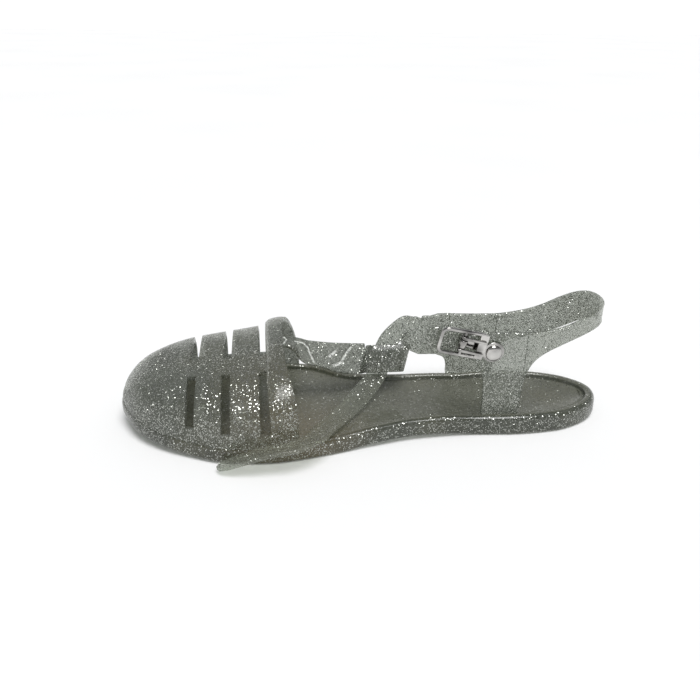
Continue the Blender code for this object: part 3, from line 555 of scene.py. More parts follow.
def build_cage(step_size=0.0011, sub=3):
    """The toe cage as a wall with windows between its crowned strips."""
    bm = bmesh.new()
    outer_side, inner_side = outline(200, RIM_STEP)
    rows = fine_rows(step_size)
    sections = [cage_section(row, outer_side, inner_side, sub) for row in rows]
    tip_x = outer_side[-1].x
    tip = Vector((tip_x, outer_side[-1].y, rim_height(tip_x)))
    width = len(sections[0])
    plain = [[point for point, _, _ in section] for section in sections]
    outer_grid, inner_grid = [], []
    for i, (row, section) in enumerate(zip(rows, sections)):
        ahead = plain[i - 1] if i else [tip] * width
        behind = plain[min(i + 1, len(plain) - 1)]
        outer_row, inner_row = [], []
        for j, (point, zone, share) in enumerate(section):
            run = behind[j] - ahead[j]
            across = plain[i][min(j + 1, width - 1)] - plain[i][max(j - 1, 0)]
            normal = across.cross(run).normalized()
            at_base = j in (0, width - 1)
            if at_base:
                normal = Vector((normal.x, normal.y, 0)).normalized()
            mirrored = share if j < width / 2 or zone == "centre" else 1 - share
            proud = 0.0 if at_base else cage_offset(row, zone, mirrored)
            sunk = Vector((0, 0, SINK if at_base else 0))
            outer_row.append(bm.verts.new(point + normal * proud - sunk))
            inner_row.append(bm.verts.new(point - normal * WALL - sunk))
        outer_grid.append(outer_row)
        inner_grid.append(inner_row)
    pairs = {}
    for outer_row, inner_row in zip(outer_grid, inner_grid):
        pairs.update(zip(outer_row, inner_row))
    outer_tip = bm.verts.new(tip - Vector((0, 0, SINK)))
    pairs[outer_tip] = bm.verts.new(outer_tip.co - Vector((WALL, 0, 0)))
    cells = [[outer_tip, outer_grid[0][j], outer_grid[0][j + 1]] for j in range(width - 1)]
    shaded_cells = set()
    for i in range(len(rows) - 1):
        for j in range(width - 1):
            in_window = sections[i][j][1] == "window"
            if not (rows[i][3] == "gap" and in_window):
                first, second = outer_grid[i], outer_grid[i + 1]
                # Painted shade: the toe groove's window cells take a darker plastic, standing for the
                # shade in that recess.
                if in_window and GROOVE_END - 0.002 < rows[i][0] < GROOVE_START + 0.002:
                    shaded_cells.add(len(cells))
                cells.append([first[j], second[j], second[j + 1], first[j + 1]])
    thicken(bm, cells, pairs, shaded_cells)
    return bm


def thicken(bm, cells, pairs, shaded_cells):
    """Makes a closed wall from outer cells and each outer vertex's inner partner."""
    for index, cell in enumerate(cells):
        bm.faces.new(cell).material_index = 1 if index in shaded_cells else 0
    borders = [edge for edge in bm.edges if len(edge.link_faces) == 1]
    rims = []
    for edge in borders:
        loop = edge.link_loops[0]
        rims.append((loop.vert, loop.link_loop_next.vert))
    for cell in cells:
        bm.faces.new([pairs[v] for v in reversed(cell)])
    for first, second in rims:
        bm.faces.new([second, first, pairs[first], pairs[second]])
    for vert in [v for v in bm.verts if not v.link_faces]:
        bm.verts.remove(vert)


# Across a strap: distance in from the edge in metres and half-thickness as a share
RIDGED = (
    (0.0, 0.16),
    (0.00014, 0.33),
    (0.0004, 0.46),
    (0.0008, 0.54),
    (0.0012, 0.54),
    (0.0017, 0.46),
    (0.0023, 0.44),
)


def band(rows, thick, edge, middles=8, fold=None, slot_from=None):
    """A strap as a closed solid, from rows of (anchor, across, low, high).

    fold gives how strongly the strap is creased at a share along and a share across;
    from row slot_from on its broad faces take the second material.
    """
    bm = bmesh.new()
    # The crease strength is stored on each vertex; the plastic paints a highlight along it.
    fold_glint_layer = bm.verts.layers.float.new("fold")
    rings = []
    for index, (anchor, across, low, high) in enumerate(rows):
        before = rows[max(index - 1, 0)][0]
        after = rows[min(index + 1, len(rows) - 1)][0]
        out = (after - before).cross(across).normalized()
        width = high - low
        squeeze = min(1.0, width / (2.6 * edge[-1][0]))
        near = [(distance * squeeze, share) for distance, share in edge]
        inner = near[-1][0]
        middle = [
            (inner + (width - 2 * inner) * part / middles, near[-1][1])
            for part in range(1, middles)
        ]
        spots = near + middle + [(width - distance, share) for distance, share in reversed(near)]
        up, down = [], []
        for distance, share in spots:
            crease = fold(index / (len(rows) - 1), distance / width) if fold else 0.0
            point = anchor + across * (low + distance)
            up.append(bm.verts.new(point + out * (share * thick + FOLD_RISE * crease)))
            down.append(bm.verts.new(point - out * (share * thick - FOLD_RISE * crease)))
            up[-1][fold_glint_layer] = down[-1][fold_glint_layer] = crease
        rings.append(up + down[::-1])
    for index, (first, second) in enumerate(zip(rings, rings[1:])):
        stitch(bm, first, second, slot=1 if slot_from is not None and index >= slot_from else 0)
    for ring in (rings[0], rings[-1]):
        half = len(ring) // 2
        for index in range(half - 1):
            bm.faces.new([ring[index], ring[index + 1], ring[-index - 2], ring[-index - 1]])
    return bm


def between(p, q, r, s, t):
    """Catmull-Rom value between q and r, with p before them and s after them."""
    square, cube = 2 * p - 5 * q + 4 * r - s, 3 * q - p - 3 * r + s
    return 0.5 * (2 * q + (r - p) * t + square * t ** 2 + cube * t ** 3)


def flow(points, spans):
    """Points on a smooth curve through the given points, spans to each interval."""
    result = []
    last = len(points) - 1
    for index in range(last):
        a, b = points[max(index - 1, 0)], points[index]
        c, d = points[index + 1], points[min(index + 2, last)]
        for step in range(spans):
            t = step / spans
            result.append([between(*values, t) for values in zip(a, b, c, d)])
    result.append(list(points[last]))
    return result


def banked_rows(points, spans):
    route = flow(points, spans)
    rows = []
    for index, (x, y, z, turn, half) in enumerate(route):
        ahead = Vector(route[min(index + 1, len(route) - 1)][:3])
        behind = Vector(route[max(index - 1, 0)][:3])
        run = (ahead - behind).normalized()
        level = run.cross(Vector((0, 0, 1))).normalized()
        upright = level.cross(run)
        across = level * math.cos(math.radians(turn)) + upright * math.sin(math.radians(turn))
        rows.append((Vector((x, y, z)), across, -half, half))
    return rows


def harness_values(along, side, low, high):
    """x, y, lean, bottom and top of one row of the heel harness."""
    x = SOLE_LENGTH * along
    depth = min(max((x - HARNESS_SETBACK) / HARNESS_DEPTH, 0), 1)
    bend = math.sqrt(depth * (2 - depth))
    y = HARNESS_OFFSET + side * bend * HARNESS_WIDTH / 2
    lean = bend * (OUTER_LEAN if side > 0 else INNER_LEAN)
    bottom = rim_height(x) - SINK if low == 0 else HARNESS_HEIGHT * low
    return x, y, lean, bottom, HARNESS_HEIGHT * high


def harness_rows(spans):
    values = [harness_values(*row) for row in HARNESS_ROWS]
    smooth = flow([(x, y, lean, top) for x, y, lean, _, top in values], spans)
    bottoms = monotone(list(range(len(values))), [row[3] for row in values])
    rows = []
    for index, (x, y, lean, top) in enumerate(smooth):
        across = Vector((0, lean, 1)).normalized()
        bottom = bottoms(index / spans)
        anchor = Vector((x, y, LEAN_HEIGHT))
        rows.append((anchor, across, (bottom - LEAN_HEIGHT) / across.z, (top - LEAN_HEIGHT) / across.z))
    return rows


def build_harness(spans=4):
    points = [
        (SOLE_LENGTH * along, BALL_WIDTH * side, HARNESS_HEIGHT * height, turn, STRAP_WIDTH * half)
        for along, side, height, turn, half in STRAP_ROWS
    ]
    heel_rows = harness_rows(spans)
    clear_from = len(heel_rows) + 3 * spans * CLEAR_STRAP_ROW
    return band(heel_rows + banked_rows(points, 3 * spans), STRAP_THICK, RIDGED, slot_from=clear_from)


# Sharp creases of the T-strap, each a route of (share along, share across)
FOLDS = (
    ((0.10, 0.02), (0.13, 0.35), (0.09, 0.75), (0.05, 0.95)),
    ((0.24, 0.30), (0.33, 0.22), (0.41, 0.34), (0.46, 0.60), (0.50, 0.85)),
    ((0.80, 0.12), (0.75, 0.35), (0.72, 0.62), (0.66, 0.80)),
    ((0.66, 0.30), (0.62, 0.52)),
)
FOLD_RISE = 0.0006
# Row of STRAP_ROWS past the loop, from which the ankle strap is a single clear layer with painted
# light: a lighter copy of the strap plastic
CLEAR_STRAP_ROW = 8
FOLD_WIDTH = 0.0007
T_STRAP_RUN = 0.047


def fold_strength(along, across):
    """1 on the line of a crease of the T-strap, falling to 0 beside it."""
    spot = Vector((along * T_STRAP_RUN, across * T_STRAP_WIDTH))
    nearest = 1.0
    for route in FOLDS:
        points = [Vector((a * T_STRAP_RUN, b * T_STRAP_WIDTH)) for a, b in route]
        for first, second in zip(points, points[1:]):
            run = second - first
            share = min(max((spot - first).dot(run) / run.length_squared, 0), 1)
            nearest = min(nearest, (first + run * share - spot).length)
    return math.exp(-((nearest / FOLD_WIDTH) ** 2))


def build_t_strap(spans=34):
    points = [
        (SOLE_LENGTH * along, BALL_WIDTH * side, CAGE_HEIGHT * height, turn, T_STRAP_WIDTH * width / 2)
        for along, side, height, turn, width in T_STRAP_ROWS
    ]
    return band(banked_rows(points, spans), T_STRAP_THICK, RIDGED, 24, fold_strength)


def build_loop(turns=14, edge=0.0003):
    """The flat sleeve round the ankle strap, with rounded rims."""
    bm = bmesh.new()
    rings = []
    half = LOOP_HEIGHT / 2
    stations = (
        (-half, edge),
        (-half, LOOP_WALL - edge),
        (-half + edge, LOOP_WALL),
        (0.0, LOOP_WALL),
        (half - edge, LOOP_WALL),
        (half, LOOP_WALL - edge),
        (half, edge),
        (half - edge, 0.0),
        (0.0, 0.0),
        (-half + edge, 0.0),
    )
    centre = LOOP_LENGTH / 2 - LOOP_WALL - LOOP_GAP / 2
    for level, wall in stations:
        radius = LOOP_GAP / 2 + wall
        ring = []
        for end in (1, -1):
            for step in range(turns + 1):
                angle = math.pi * (step / turns - 0.5) + (0 if end > 0 else math.pi)
                x = end * centre + radius * math.cos(angle) - LOOP_SLANT * level
                ring.append(bm.verts.new((x, radius * math.sin(angle), level)))
        rings.append(ring)
    for first, second in zip(rings, rings[1:] + rings[:1]):
        stitch(bm, first, second)
    along, side, height, _, _ = T_STRAP_ROWS[-1]
    middle = Vector((
        SOLE_LENGTH * along + LOOP_BITE - LOOP_LENGTH / 2,
        BALL_WIDTH * side,
        CAGE_HEIGHT * height - LOOP_DROP,
    ))
    bm.transform(Matrix.Translation(middle) @ Matrix.Rotation(LOOP_TILT, 4, "X"))
    return bm


# Buckle
LEAN = Vector((0, OUTER_LEAN, 1)).normalized()
OUT = Vector((1, 0, 0)).cross(LEAN) * -1
BUCKLE_SPOT = Vector((SOLE_LENGTH * BUCKLE_ALONG, HARNESS_OFFSET + HARNESS_WIDTH / 2, LEAN_HEIGHT))
BUCKLE_SPOT += LEAN * (HARNESS_HEIGHT * BUCKLE_LEVEL - LEAN_HEIGHT)
BUCKLE_SPOT += OUT * (STRAP_THICK / 2 + BAR_RISE)
RUN = Vector((1, 0, 0)) * math.cos(BUCKLE_SLOPE) + LEAN * math.sin(BUCKLE_SLOPE)
BUCKLE = Matrix.Translation(BUCKLE_SPOT) @ Matrix((RUN, OUT.cross(RUN), OUT)).transposed().to_4x4()
ON_BUCKLE = TO_ROW @ BUCKLE


def sweep(bm, path, profile, closed):
    """Sweeps a profile of (side, up) points along a path of (point, side vector, up vector)."""
    rings = [[bm.verts.new(spot + side * a + up * b) for a, b in profile] for spot, side, up in path]
    pairs = list(zip(rings, rings[1:] + (rings[:1] if closed else [])))
    for first, second in pairs[: len(rings) if closed else len(rings) - 1]:
        stitch(bm, first, second)
    if not closed:
        bm.faces.new(rings[0])
        bm.faces.new(rings[-1])


def superellipse(half_width, half_height, power, count=20):
    points = []
    for step in range(count):
        angle = 2 * math.pi * step / count
        c, s = math.cos(angle), math.sin(angle)
        side = half_width * math.copysign(abs(c) ** power, c)
        points.append((side, half_height * math.copysign(abs(s) ** power, s)))
    return points


def build_frame():
    """The buckle frame: pressed loop, centre bar and hood over the heel end."""
    bm = bmesh.new()
    length, width = FRAME_LENGTH - FRAME_WIRE, FRAME_WIDTH - FRAME_WIRE
    corner, turns = FRAME_CORNER, 8
    spots = []
    for quarter in range(4):
        sign_x = 1 if quarter in (0, 3) else -1
        sign_y = 1 if quarter in (0, 1) else -1
        for step in range(turns + 1):
            angle = (quarter + step / turns) * math.pi / 2
            x = sign_x * (length / 2 - corner) + corner * math.cos(angle)
            y = sign_y * (width / 2 - corner) + corner * math.sin(angle)
            spots.append(Vector((x, y, -FRAME_ARCH * (2 * x / length) ** 2)))
    up = Vector((0, 0, 1))
    path = []
    for index, spot in enumerate(spots):
        run = (spots[(index + 1) % len(spots)] - spots[index - 1]).normalized()
        path.append((spot, run.cross(up).normalized(), up))
    sweep(bm, path, superellipse(FRAME_WIRE / 2, FRAME_WIRE / 2, 0.82), True)
    sides = (-width / 2, -width / 6, width / 6, width / 2)
    bar = [(Vector((0, y, 0)), Vector((1, 0, 0)), up) for y in sides]
    sweep(bm, bar, superellipse(BAR_RADIUS, BAR_RADIUS, 1.0), False)
    hood_x = -(length / 2 - HOOD_WIDTH / 2 + HOOD_OVERHANG)
    hood = []
    for step in range(13):
        y = (width + HOOD_OVERHANG) * (step / 12 - 0.5)
        drop = HOOD_DROP * (abs(2 * y / width) ** 4)
        hood.append((Vector((hood_x, y, FRAME_WIRE / 2 - HOOD_SINK - drop)), Vector((1, 0, 0)), up))
    sweep(bm, hood, superellipse(HOOD_WIDTH / 2, HOOD_THICK / 2, 0.45, 28), False)
    return bm


def build_eye(bm, inner, outer, half, y, edge, steps):
    """A ring round the bar, centred on y, with its outer corners cut by edge."""
    profile = [
        (inner, -half),
        (outer - edge, -half),
        (outer, -half + edge),
        (outer, half - edge),
        (outer - edge, half),
        (inner, half),
    ]
    rings = []
    for step in range(steps):
        angle = 2 * math.pi * step / steps
        across, up = math.cos(angle), math.sin(angle)
        rings.append([bm.verts.new((r * across, y + w, r * up)) for r, w in profile])
    for first, second in zip(rings, rings[1:] + rings[:1]):
        stitch(bm, first, second)


def build_prong(side):
    """One prong: an eye round the bar and a tapered blade over the hood."""
    bm = bmesh.new()
    y = side * PRONG_SPREAD / 2
    inner, outer = BAR_RADIUS + TURN_GAP, BAR_RADIUS + TURN_GAP + PRONG_THICK * 0.8
    half = PRONG_WIDTH / 2
    build_eye(bm, inner, outer, half, y, PRONG_EDGE, 32)
    top = FRAME_WIRE / 2 + HOOD_THICK / 2 - HOOD_SINK + TURN_GAP + PRONG_THICK
    stations = flow([
        (0.0002, outer - 0.45 * PRONG_THICK, 0.42 * PRONG_THICK, half),
        (-0.30 * PRONG_REACH, outer - 0.25 * PRONG_THICK, 0.50 * PRONG_THICK, half),
        (-0.70 * PRONG_REACH, top - 0.5 * PRONG_THICK, 0.5 * PRONG_THICK, 0.85 * half),
        (-0.93 * PRONG_REACH, top - 0.5 * PRONG_THICK, 0.46 * PRONG_THICK, 0.60 * half),
        (-PRONG_REACH, top - 0.6 * PRONG_THICK, 0.16 * PRONG_THICK, 0.22 * half),
    ], 5)
    blades = [
        [bm.verts.new((x, y + a * w, z + b * h)) for a, b in superellipse(1, 1, 0.7, 16)]
        for x, z, h, w in stations
    ]
    for first, second in zip(blades, blades[1:]):
        stitch(bm, first, second)
    bm.faces.new(blades[0])
    bm.faces.new(blades[-1])
    return bm


def build_tab():
    """The folded tab: an eye round the bar, a leaf under the hood and a disc with a rolled lip."""
    bm = bmesh.new()
    inner, outer = BAR_RADIUS + TURN_GAP, BAR_RADIUS + TURN_GAP + TAB_THICK
    half = TAB_WIDTH / 2
    build_eye(bm, inner, outer, half, 0.0, TAB_EDGE, 36)
    low = -BAR_RISE + SEAT_GAP
    stations = flow([
        (0.0, 0.0, -outer + TAB_THICK / 2, 1.0),
        (-0.0016, 0.0, -outer + TAB_THICK / 2, 1.0),
        (-0.0042, 0.18 * RIVET_DROP, low + TAB_THICK / 2, 1.1),
        (-RIVET_REACH + TAB_DISC_RADIUS * 0.75, 0.78 * RIVET_DROP, low + TAB_THICK / 2, 1.3),
        (-RIVET_REACH, RIVET_DROP, low + TAB_THICK / 2, 1.9),
    ], 5)
    section = superellipse(1, 1, 0.35, 20)
    leaf = [
        [bm.verts.new((x, y + a * share * half, z + b * TAB_THICK / 2)) for a, b in section]
        for x, y, z, share in stations
    ]
    for first, second in zip(leaf, leaf[1:]):
        stitch(bm, first, second)
    bm.faces.new(leaf[0])
    bm.faces.new(leaf[-1])
    lathe(bm, (-RIVET_REACH, RIVET_DROP, low), (
        (0.0, 0.0),
        (TAB_DISC_RADIUS - TAB_EDGE, 0.0),
        (TAB_DISC_RADIUS, TAB_EDGE),
        (TAB_DISC_RADIUS, TAB_THICK - TAB_EDGE),
        (TAB_DISC_RADIUS - TAB_EDGE, TAB_THICK),
        (0.0, TAB_THICK),
    ))
    return bm


def lathe(bm, centre, profile, sides=56):
    """Turns a profile of (radius, height) round the vertical through centre."""
    rings = []
    for radius, height in profile:
        if radius < 1e-7:
            vert = bm.verts.new((centre[0], centre[1], centre[2] + height))
            rings.append([vert] * sides)
        else:
            rings.append([
                bm.verts.new((
                    centre[0] + radius * math.cos(2 * math.pi * step / sides),
                    centre[1] + radius * math.sin(2 * math.pi * step / sides),
                    centre[2] + height,
                ))
                for step in range(sides)
            ])
    for first, second in zip(rings, rings[1:]):
        stitch(bm, first, second)


def build_rivet():
    """Domed head with a flattened crown, shank and foot."""
    bm = bmesh.new()
    seat = -BAR_RISE + 2 * SEAT_GAP + TAB_THICK
    foot = -BAR_RISE - STRAP_THICK - SEAT_GAP
    head = [(0.0, seat + RIVET_HEAD_HEIGHT)]
    for step in range(1, 15):
        angle = math.pi / 2 * (1 - step / 14)
        height = RIVET_HEAD_RIM + (RIVET_HEAD_HEIGHT - RIVET_HEAD_RIM) * math.sin(angle)
        head.append((RIVET_HEAD_RADIUS * math.cos(angle) ** 0.9, seat + height))
    head += [
        (RIVET_HEAD_RADIUS, seat + 0.0001),
        (RIVET_HEAD_RADIUS - 0.0002, seat),
        (RIVET_SHANK_RADIUS, seat),
        (RIVET_SHANK_RADIUS, foot),
        (RIVET_FOOT_RADIUS - 0.0001, foot),
        (RIVET_FOOT_RADIUS, foot - 0.0001),
        (RIVET_FOOT_RADIUS, foot - 0.0006),
        (RIVET_FOOT_RADIUS - 0.0002, foot - RIVET_FOOT_THICK),
        (0.0, foot - RIVET_FOOT_THICK),
    ]
    lathe(bm, (-RIVET_REACH, RIVET_DROP, 0), head)
    return bm


class Graph:
    """Small helper that adds nodes to a material and wires them."""

    def __init__(self, name):
        self.material = bpy.data.materials.new(name)
        self.material.use_nodes = True
        self.tree = self.material.node_tree
        self.shader = self.tree.nodes["Principled BSDF"]
        self.output = self.tree.nodes["Material Output"]

    def node(self, kind, inputs=None, **values):
        made = self.tree.nodes.new(kind)
        for key, value in values.items():
            setattr(made, key, value)
        for key, value in (inputs or {}).items():
            self.put(made.inputs[key], value)
        return made

    def put(self, socket, value):
        if isinstance(value, bpy.types.NodeSocket):
            self.tree.links.new(value, socket)
        else:
            socket.default_value = value

    def math(self, operation, *values):
        made = self.node("ShaderNodeMath", operation=operation)
        for socket, value in zip(made.inputs, values):
            self.put(socket, value)
        return made.outputs[0]

    def vector(self, operation, *values):
        made = self.node("ShaderNodeVectorMath", operation=operation)
        for socket, value in zip(made.inputs, values):
            self.put(socket, value)
        return made.outputs[0]

    def ramp(self, factor, *stops):
        made = self.node("ShaderNodeValToRGB")
        self.put(made.inputs[0], factor)
        elements = made.color_ramp.elements
        while len(elements) < len(stops):
            elements.new(0.5)
        for element, (place, colour) in zip(elements, stops):
            element.position = place
            element.color = (*colour, 1) if len(colour) == 3 else colour
        return made.outputs[0]

    def mix(self, factor, first, second, blend="MIX"):
        made = self.node("ShaderNodeMix", data_type="RGBA", blend_type=blend)
        self.put(made.inputs[0], factor)
        self.put(made.inputs[6], first)
        self.put(made.inputs[7], second)
        return made.outputs[2]

    def noise(self, scale, detail=3.0, rough=0.5, where=None):
        made = self.node("ShaderNodeTexNoise", {"Scale": scale, "Detail": detail, "Roughness": rough})
        self.put(made.inputs["Vector"], where if where is not None else self.place())
        return made.outputs[0]

    def place(self):
        if not hasattr(self, "_place"):
            self._place = self.node("ShaderNodeTexCoord").outputs["Object"]
        return self._place


def jelly(name, dark, light, clear, seed, sparkle=1.0):
    """Clear grey-green soft plastic with mirror flakes in it.

    dark and light bound its colour, clear is the share of light that passes straight
    through one of its faces, and sparkle scales the number of flakes.
    """
    g = Graph(name)
    shift = g.vector("ADD", g.place(), (seed, 0.37 * seed, 0.11 * seed))
    broad = g.noise(38, 3, 0.55, shift)
    fine = g.noise(520, 2, 0.6, shift)
    grain = g.math("ADD", g.math("MULTIPLY", broad, 0.45), g.math("MULTIPLY", fine, 0.55))
    base = g.ramp(grain, (0.34, dark), (0.66, light))
    patches = g.ramp(g.noise(22, 2, 0.5, shift), (0.50, (0, 0, 0)), (0.72, (0.35, 0.35, 0.35)))
    olive = g.mix(patches, base, (0.150, 0.140, 0.085, 1))
    away = g.node("ShaderNodeVectorMath", {0: g.place(), 1: WORN_SPOT}, operation="DISTANCE")
    worn = g.math("MULTIPLY", away.outputs["Value"], 12.0)
    stain = g.ramp(worn, (0.10, (0.55, 0.55, 0.55)), (0.55, (0, 0, 0)))
    stained = g.mix(stain, olive, (0.190, 0.150, 0.085, 1))
    # Painted highlight: along the T-strap's creases the colour turns near white, standing for glints on
    # the folds, and those lines let less light through.
    fold = g.node("ShaderNodeAttribute", attribute_name="fold").outputs["Fac"]
    glint_streaks = g.math("MULTIPLY", fold, g.math("ADD", 0.35, g.noise(700, 2, 0.6, shift)))
    painted_glint = g.ramp(glint_streaks, (0.35, (0, 0, 0)), (0.75, (1, 1, 1)))
    colour = g.mix(painted_glint, stained, (0.80, 0.82, 0.78, 1))

    body = g.shader
    scuff = g.ramp(g.noise(90, 4, 0.65, shift), (0.45, (0.16, 0.16, 0.16)), (0.70, (0.42, 0.42, 0.42)))
    ripple = g.noise(210, 4, 0.55, shift)
    bump = g.node("ShaderNodeBump", {"Strength": 0.35, "Distance": 0.0005, "Height": ripple})
    g.put(body.inputs["Base Color"], colour)
    g.put(body.inputs["Roughness"], scuff)
    g.put(body.inputs["Normal"], bump.outputs[0])
    g.put(body.inputs["IOR"], 1.5)
    g.put(body.inputs["Coat Weight"], 0.35)
    g.put(body.inputs["Coat Roughness"], 0.10)
    glow = g.node("ShaderNodeBsdfTranslucent", {"Color": colour})
    lit = g.node("ShaderNodeMixShader", {0: GLOW, 1: body.outputs[0], 2: glow.outputs[0]})
    open_part = g.node("ShaderNodeBsdfTransparent", {"Color": (0.90, 0.92, 0.88, 1)})
    shade = g.node("ShaderNodeLightPath").outputs["Is Shadow Ray"]
    extra = SHADOW_SHARE * (SHADOW_CLEAR - clear)
    lets_through = g.math("ADD", clear, g.math("MULTIPLY", shade, extra))
    passing = g.math("MULTIPLY", lets_through, g.math("SUBTRACT", 1.0, painted_glint))
    layer = g.node("ShaderNodeMixShader", {0: passing, 1: lit.outputs[0], 2: open_part.outputs[0]})

    top = layer
    for size, share, spread, offset in FLAKE_LAYERS:
        where = g.vector("ADD", shift, (offset, -offset, 0.5 * offset))
        values = {"Vector": where, "Scale": 1 / size, "Randomness": 1.0}
        cells = g.node("ShaderNodeTexVoronoi", values, feature="F1")
        chance = cells.outputs["Color"]
        turn = g.vector("MULTIPLY", g.vector("SUBTRACT", chance, (0.5, 0.5, 0.5)), (spread,) * 3)
        normal = g.node("ShaderNodeNewGeometry").outputs["Normal"]
        facing = g.vector("NORMALIZE", g.vector("ADD", normal, turn))
        pick = g.node("ShaderNodeTexWhiteNoise", {"Vector": chance}, noise_dimensions="3D")
        chosen = g.math("GREATER_THAN", pick.outputs["Value"], 1.0 - share * sparkle)
        inside = g.math("LESS_THAN", cells.outputs["Distance"], 0.50)
        flake = g.node("ShaderNodeBsdfPrincipled", {"Base Color": FLAKE_COLOUR, "Normal": facing})
        g.put(flake.inputs["Metallic"], 1.0)
        g.put(flake.inputs["Roughness"], 0.20)
        shown = g.math("MULTIPLY", chosen, inside)
        top = g.node("ShaderNodeMixShader", {0: shown, 1: top.outputs[0], 2: flake.outputs[0]})
    g.tree.links.new(top.outputs[0], g.output.inputs["Surface"])
    return g.material


def metal(name):
    """Bright nickel plate with soft rubbing and a cloudy tone from dark to bright."""
    g = Graph(name)
    worn = g.noise(300, 4, 0.6)
    cloud = g.noise(120, 2, 0.5)
    g.put(g.shader.inputs["Metallic"], 1.0)
    plate = g.ramp(cloud, (0.32, (0.16, 0.155, 0.15)), (0.68, (0.60, 0.59, 0.57)))
    g.put(g.shader.inputs["Base Color"], plate)
    g.put(g.shader.inputs["Roughness"], g.math("ADD", 0.06, g.math("MULTIPLY", worn, 0.16)))
    bump = g.node("ShaderNodeBump", {"Strength": 0.18, "Distance": 0.0002, "Height": worn})
    g.put(g.shader.inputs["Normal"], bump.outputs[0])
    return g.material


# Where the cage's rear strips meet the sole and the plastic has yellowed
WORN_SPOT = (0.130, 0.030, 0.012)
# Flakes by layer: cell size in metres, share of cells that hold one, tilt, shift of the pattern
FLAKE_LAYERS = (
    (0.00060, 0.30, 0.60, 0.0),
    (0.00042, 0.26, 1.40, 0.031),
)
FLAKE_COLOUR = (0.42, 0.43, 0.40, 1)
# Share of the plastic's light that comes through it from behind
GLOW = 0.22
# A shadow ray passes more light than a view ray: this share of the way up to SHADOW_CLEAR
SHADOW_SHARE = 0.60
SHADOW_CLEAR = 0.95
STRAP_JELLY = jelly("strap_jelly", (0.150, 0.162, 0.140), (0.250, 0.265, 0.232), 0.52, 3.1)
CAGE_JELLY = jelly("cage_jelly", (0.108, 0.117, 0.099), (0.182, 0.193, 0.167), 0.40, 7.7)
# Painted shade: a dark copy of the cage plastic, with few flakes, for the toe groove's recess.
RECESS_SHADE_JELLY = jelly("recess_shade_jelly", (0.052, 0.054, 0.040), (0.088, 0.090, 0.068), 0.20, 7.7, 0.15)
# Painted light: the ankle strap's free end is a lighter copy of the strap plastic, as if lit from above
# and by the pale floor; it is also clearer with fewer flakes.
END_DARK, END_LIGHT = (0.210, 0.222, 0.200), (0.330, 0.345, 0.312)
LIT_STRAP_END_JELLY = jelly("lit_strap_end_jelly", END_DARK, END_LIGHT, 0.62, 3.1, 0.35)
SOLE_JELLY = jelly("sole_jelly", (0.122, 0.126, 0.096), (0.190, 0.194, 0.160), 0.06, 5.3, 0.50)
# Painted shade: a darker copy of the sole plastic for the sole's side and lower edge.
SHADED_SIDE_JELLY = jelly("shaded_side_jelly", (0.040, 0.045, 0.034), (0.082, 0.090, 0.070), 0.04, 5.3, 0.62)
# Painted shade: a dark copy of the sole plastic for the footbed's crease and a line on the sole's upper
# edge.
CREASE_SHADE_JELLY = jelly("crease_shade_jelly", (0.045, 0.050, 0.036), (0.085, 0.092, 0.070), 0.05, 5.3, 0.3)
NICKEL = metal("bright_nickel_plate")

add("moulded_sole", build_sole(), [SOLE_JELLY, CREASE_SHADE_JELLY, SHADED_SIDE_JELLY], "root", ("sole",))
cage = add("toe_cage", build_cage(), [CAGE_JELLY, RECESS_SHADE_JELLY], "root", ("toe_upper",), sharp=35)
soften = cage.modifiers.new("soft_edges", "BEVEL")
soften.width = 0.00045
soften.segments = 3
soften.limit_method = "ANGLE"
soften.angle_limit = math.radians(50)
add("t_strap", build_t_strap(), [CAGE_JELLY], "root")
add("strap_loop", build_loop(), [CAGE_JELLY], "root")
add("heel_harness", build_harness(), [STRAP_JELLY, LIT_STRAP_END_JELLY], "root", ("heel_upper",))
add("buckle_loop", build_frame(), [NICKEL], "frame", ("buckle_frame",), ON_BUCKLE)
add("upper_prong", build_prong(-1), [NICKEL], "prong_a", ("prong_upper",), ON_BUCKLE)
add("lower_prong", build_prong(1), [NICKEL], "prong_b", ("prong_lower",), ON_BUCKLE)
add("folded_tab", build_tab(), [NICKEL], "root", ("buckle_tab",), ON_BUCKLE)
add("dome_rivet", build_rivet(), [NICKEL], "root", ("rivet",), ON_BUCKLE)


# Direction towards the key light, its strength and how wide it looks in degrees
KEY_DIRECTION = (-0.10, 0.36, 1.0)
KEY_STRENGTH = 2.6
KEY_SPREAD = 34
# The room from straight down to straight up: bright to 0.14 of the way, dim from 0.40
ROOM_STOPS = (
    (0.14, (1.1, 1.1, 1.1, 1)),
    (0.40, (0.30, 0.305, 0.31, 1)),
)
# The camera's place in metres, its elevation, azimuth and roll in degrees, and its lens in mm
CAMERA_SPOT = (0.1391, 0.3715, 0.1969)
CAMERA_ANGLES = (23.29, -6.33, 0.74)
CAMERA_LENS = 41.49
SENSOR_WIDTH = 36.0


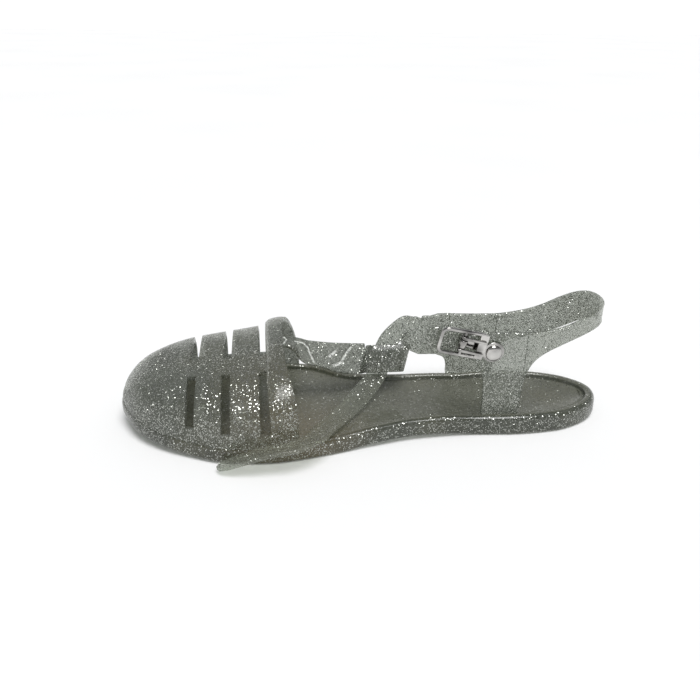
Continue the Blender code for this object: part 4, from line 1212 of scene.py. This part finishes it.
def build_floor():
    """A plain pale floor, wide enough for every view."""
    mesh = bpy.data.meshes.new("floor")
    size = 6.0
    corners = [(-size, -size, 0), (size, -size, 0), (size, size, 0), (-size, size, 0)]
    mesh.from_pydata(corners, [], [(0, 1, 2, 3)])
    g = Graph("pale_floor")
    paint = g.ramp(g.noise(3, 2, 0.5), (0.3, (0.90, 0.90, 0.90)), (0.7, (0.93, 0.93, 0.93)))
    g.put(g.shader.inputs["Base Color"], paint)
    g.put(g.shader.inputs["Roughness"], 0.75)
    mesh.materials.append(g.material)
    floor = bpy.data.objects.new("floor", mesh)
    bpy.context.scene.collection.objects.link(floor)


def build_light():
    """A broad soft key from above the outer side, and a dim even room round it."""
    world = bpy.data.worlds.new("studio")
    bpy.context.scene.world = world
    world.use_nodes = True
    background = world.node_tree.nodes["Background"]
    tree = world.node_tree
    place = tree.nodes.new("ShaderNodeTexCoord")
    parts = tree.nodes.new("ShaderNodeSeparateXYZ")
    fall = tree.nodes.new("ShaderNodeValToRGB")
    for element, (height, colour) in zip(fall.color_ramp.elements, ROOM_STOPS):
        element.position = height
        element.color = colour
    tree.links.new(place.outputs["Generated"], parts.inputs[0])
    tree.links.new(parts.outputs["Z"], fall.inputs[0])
    tree.links.new(fall.outputs[0], background.inputs["Color"])
    data = bpy.data.lights.new("key", "SUN")
    data.energy = KEY_STRENGTH
    data.angle = math.radians(KEY_SPREAD)
    lamp = bpy.data.objects.new("key", data)
    lamp.rotation_euler = Vector(KEY_DIRECTION).to_track_quat("Z", "Y").to_euler()
    bpy.context.scene.collection.objects.link(lamp)
    bpy.context.scene.view_settings.view_transform = "Standard"


def build_camera():
    """The photograph's place, direction and lens."""
    elevation, azimuth, roll = (math.radians(angle) for angle in CAMERA_ANGLES)
    level = math.cos(elevation)
    back = Vector((-math.sin(azimuth) * level, math.cos(azimuth) * level, math.sin(elevation)))
    right = (-back).cross(Vector((0, 0, 1))).normalized()
    up = back.cross(right)
    turned_right = right * math.cos(roll) + up * math.sin(roll)
    turned_up = up * math.cos(roll) - right * math.sin(roll)
    data = bpy.data.cameras.new("camera")
    data.sensor_width = SENSOR_WIDTH
    data.lens = CAMERA_LENS
    data.clip_start = 0.01
    camera = bpy.data.objects.new("camera", data)
    placed = Matrix((turned_right, turned_up, back)).transposed().to_4x4()
    placed.translation = Vector(CAMERA_SPOT)
    camera.matrix_world = placed
    bpy.context.scene.collection.objects.link(camera)
    bpy.context.scene.camera = camera


build_floor()
build_light()
build_camera()
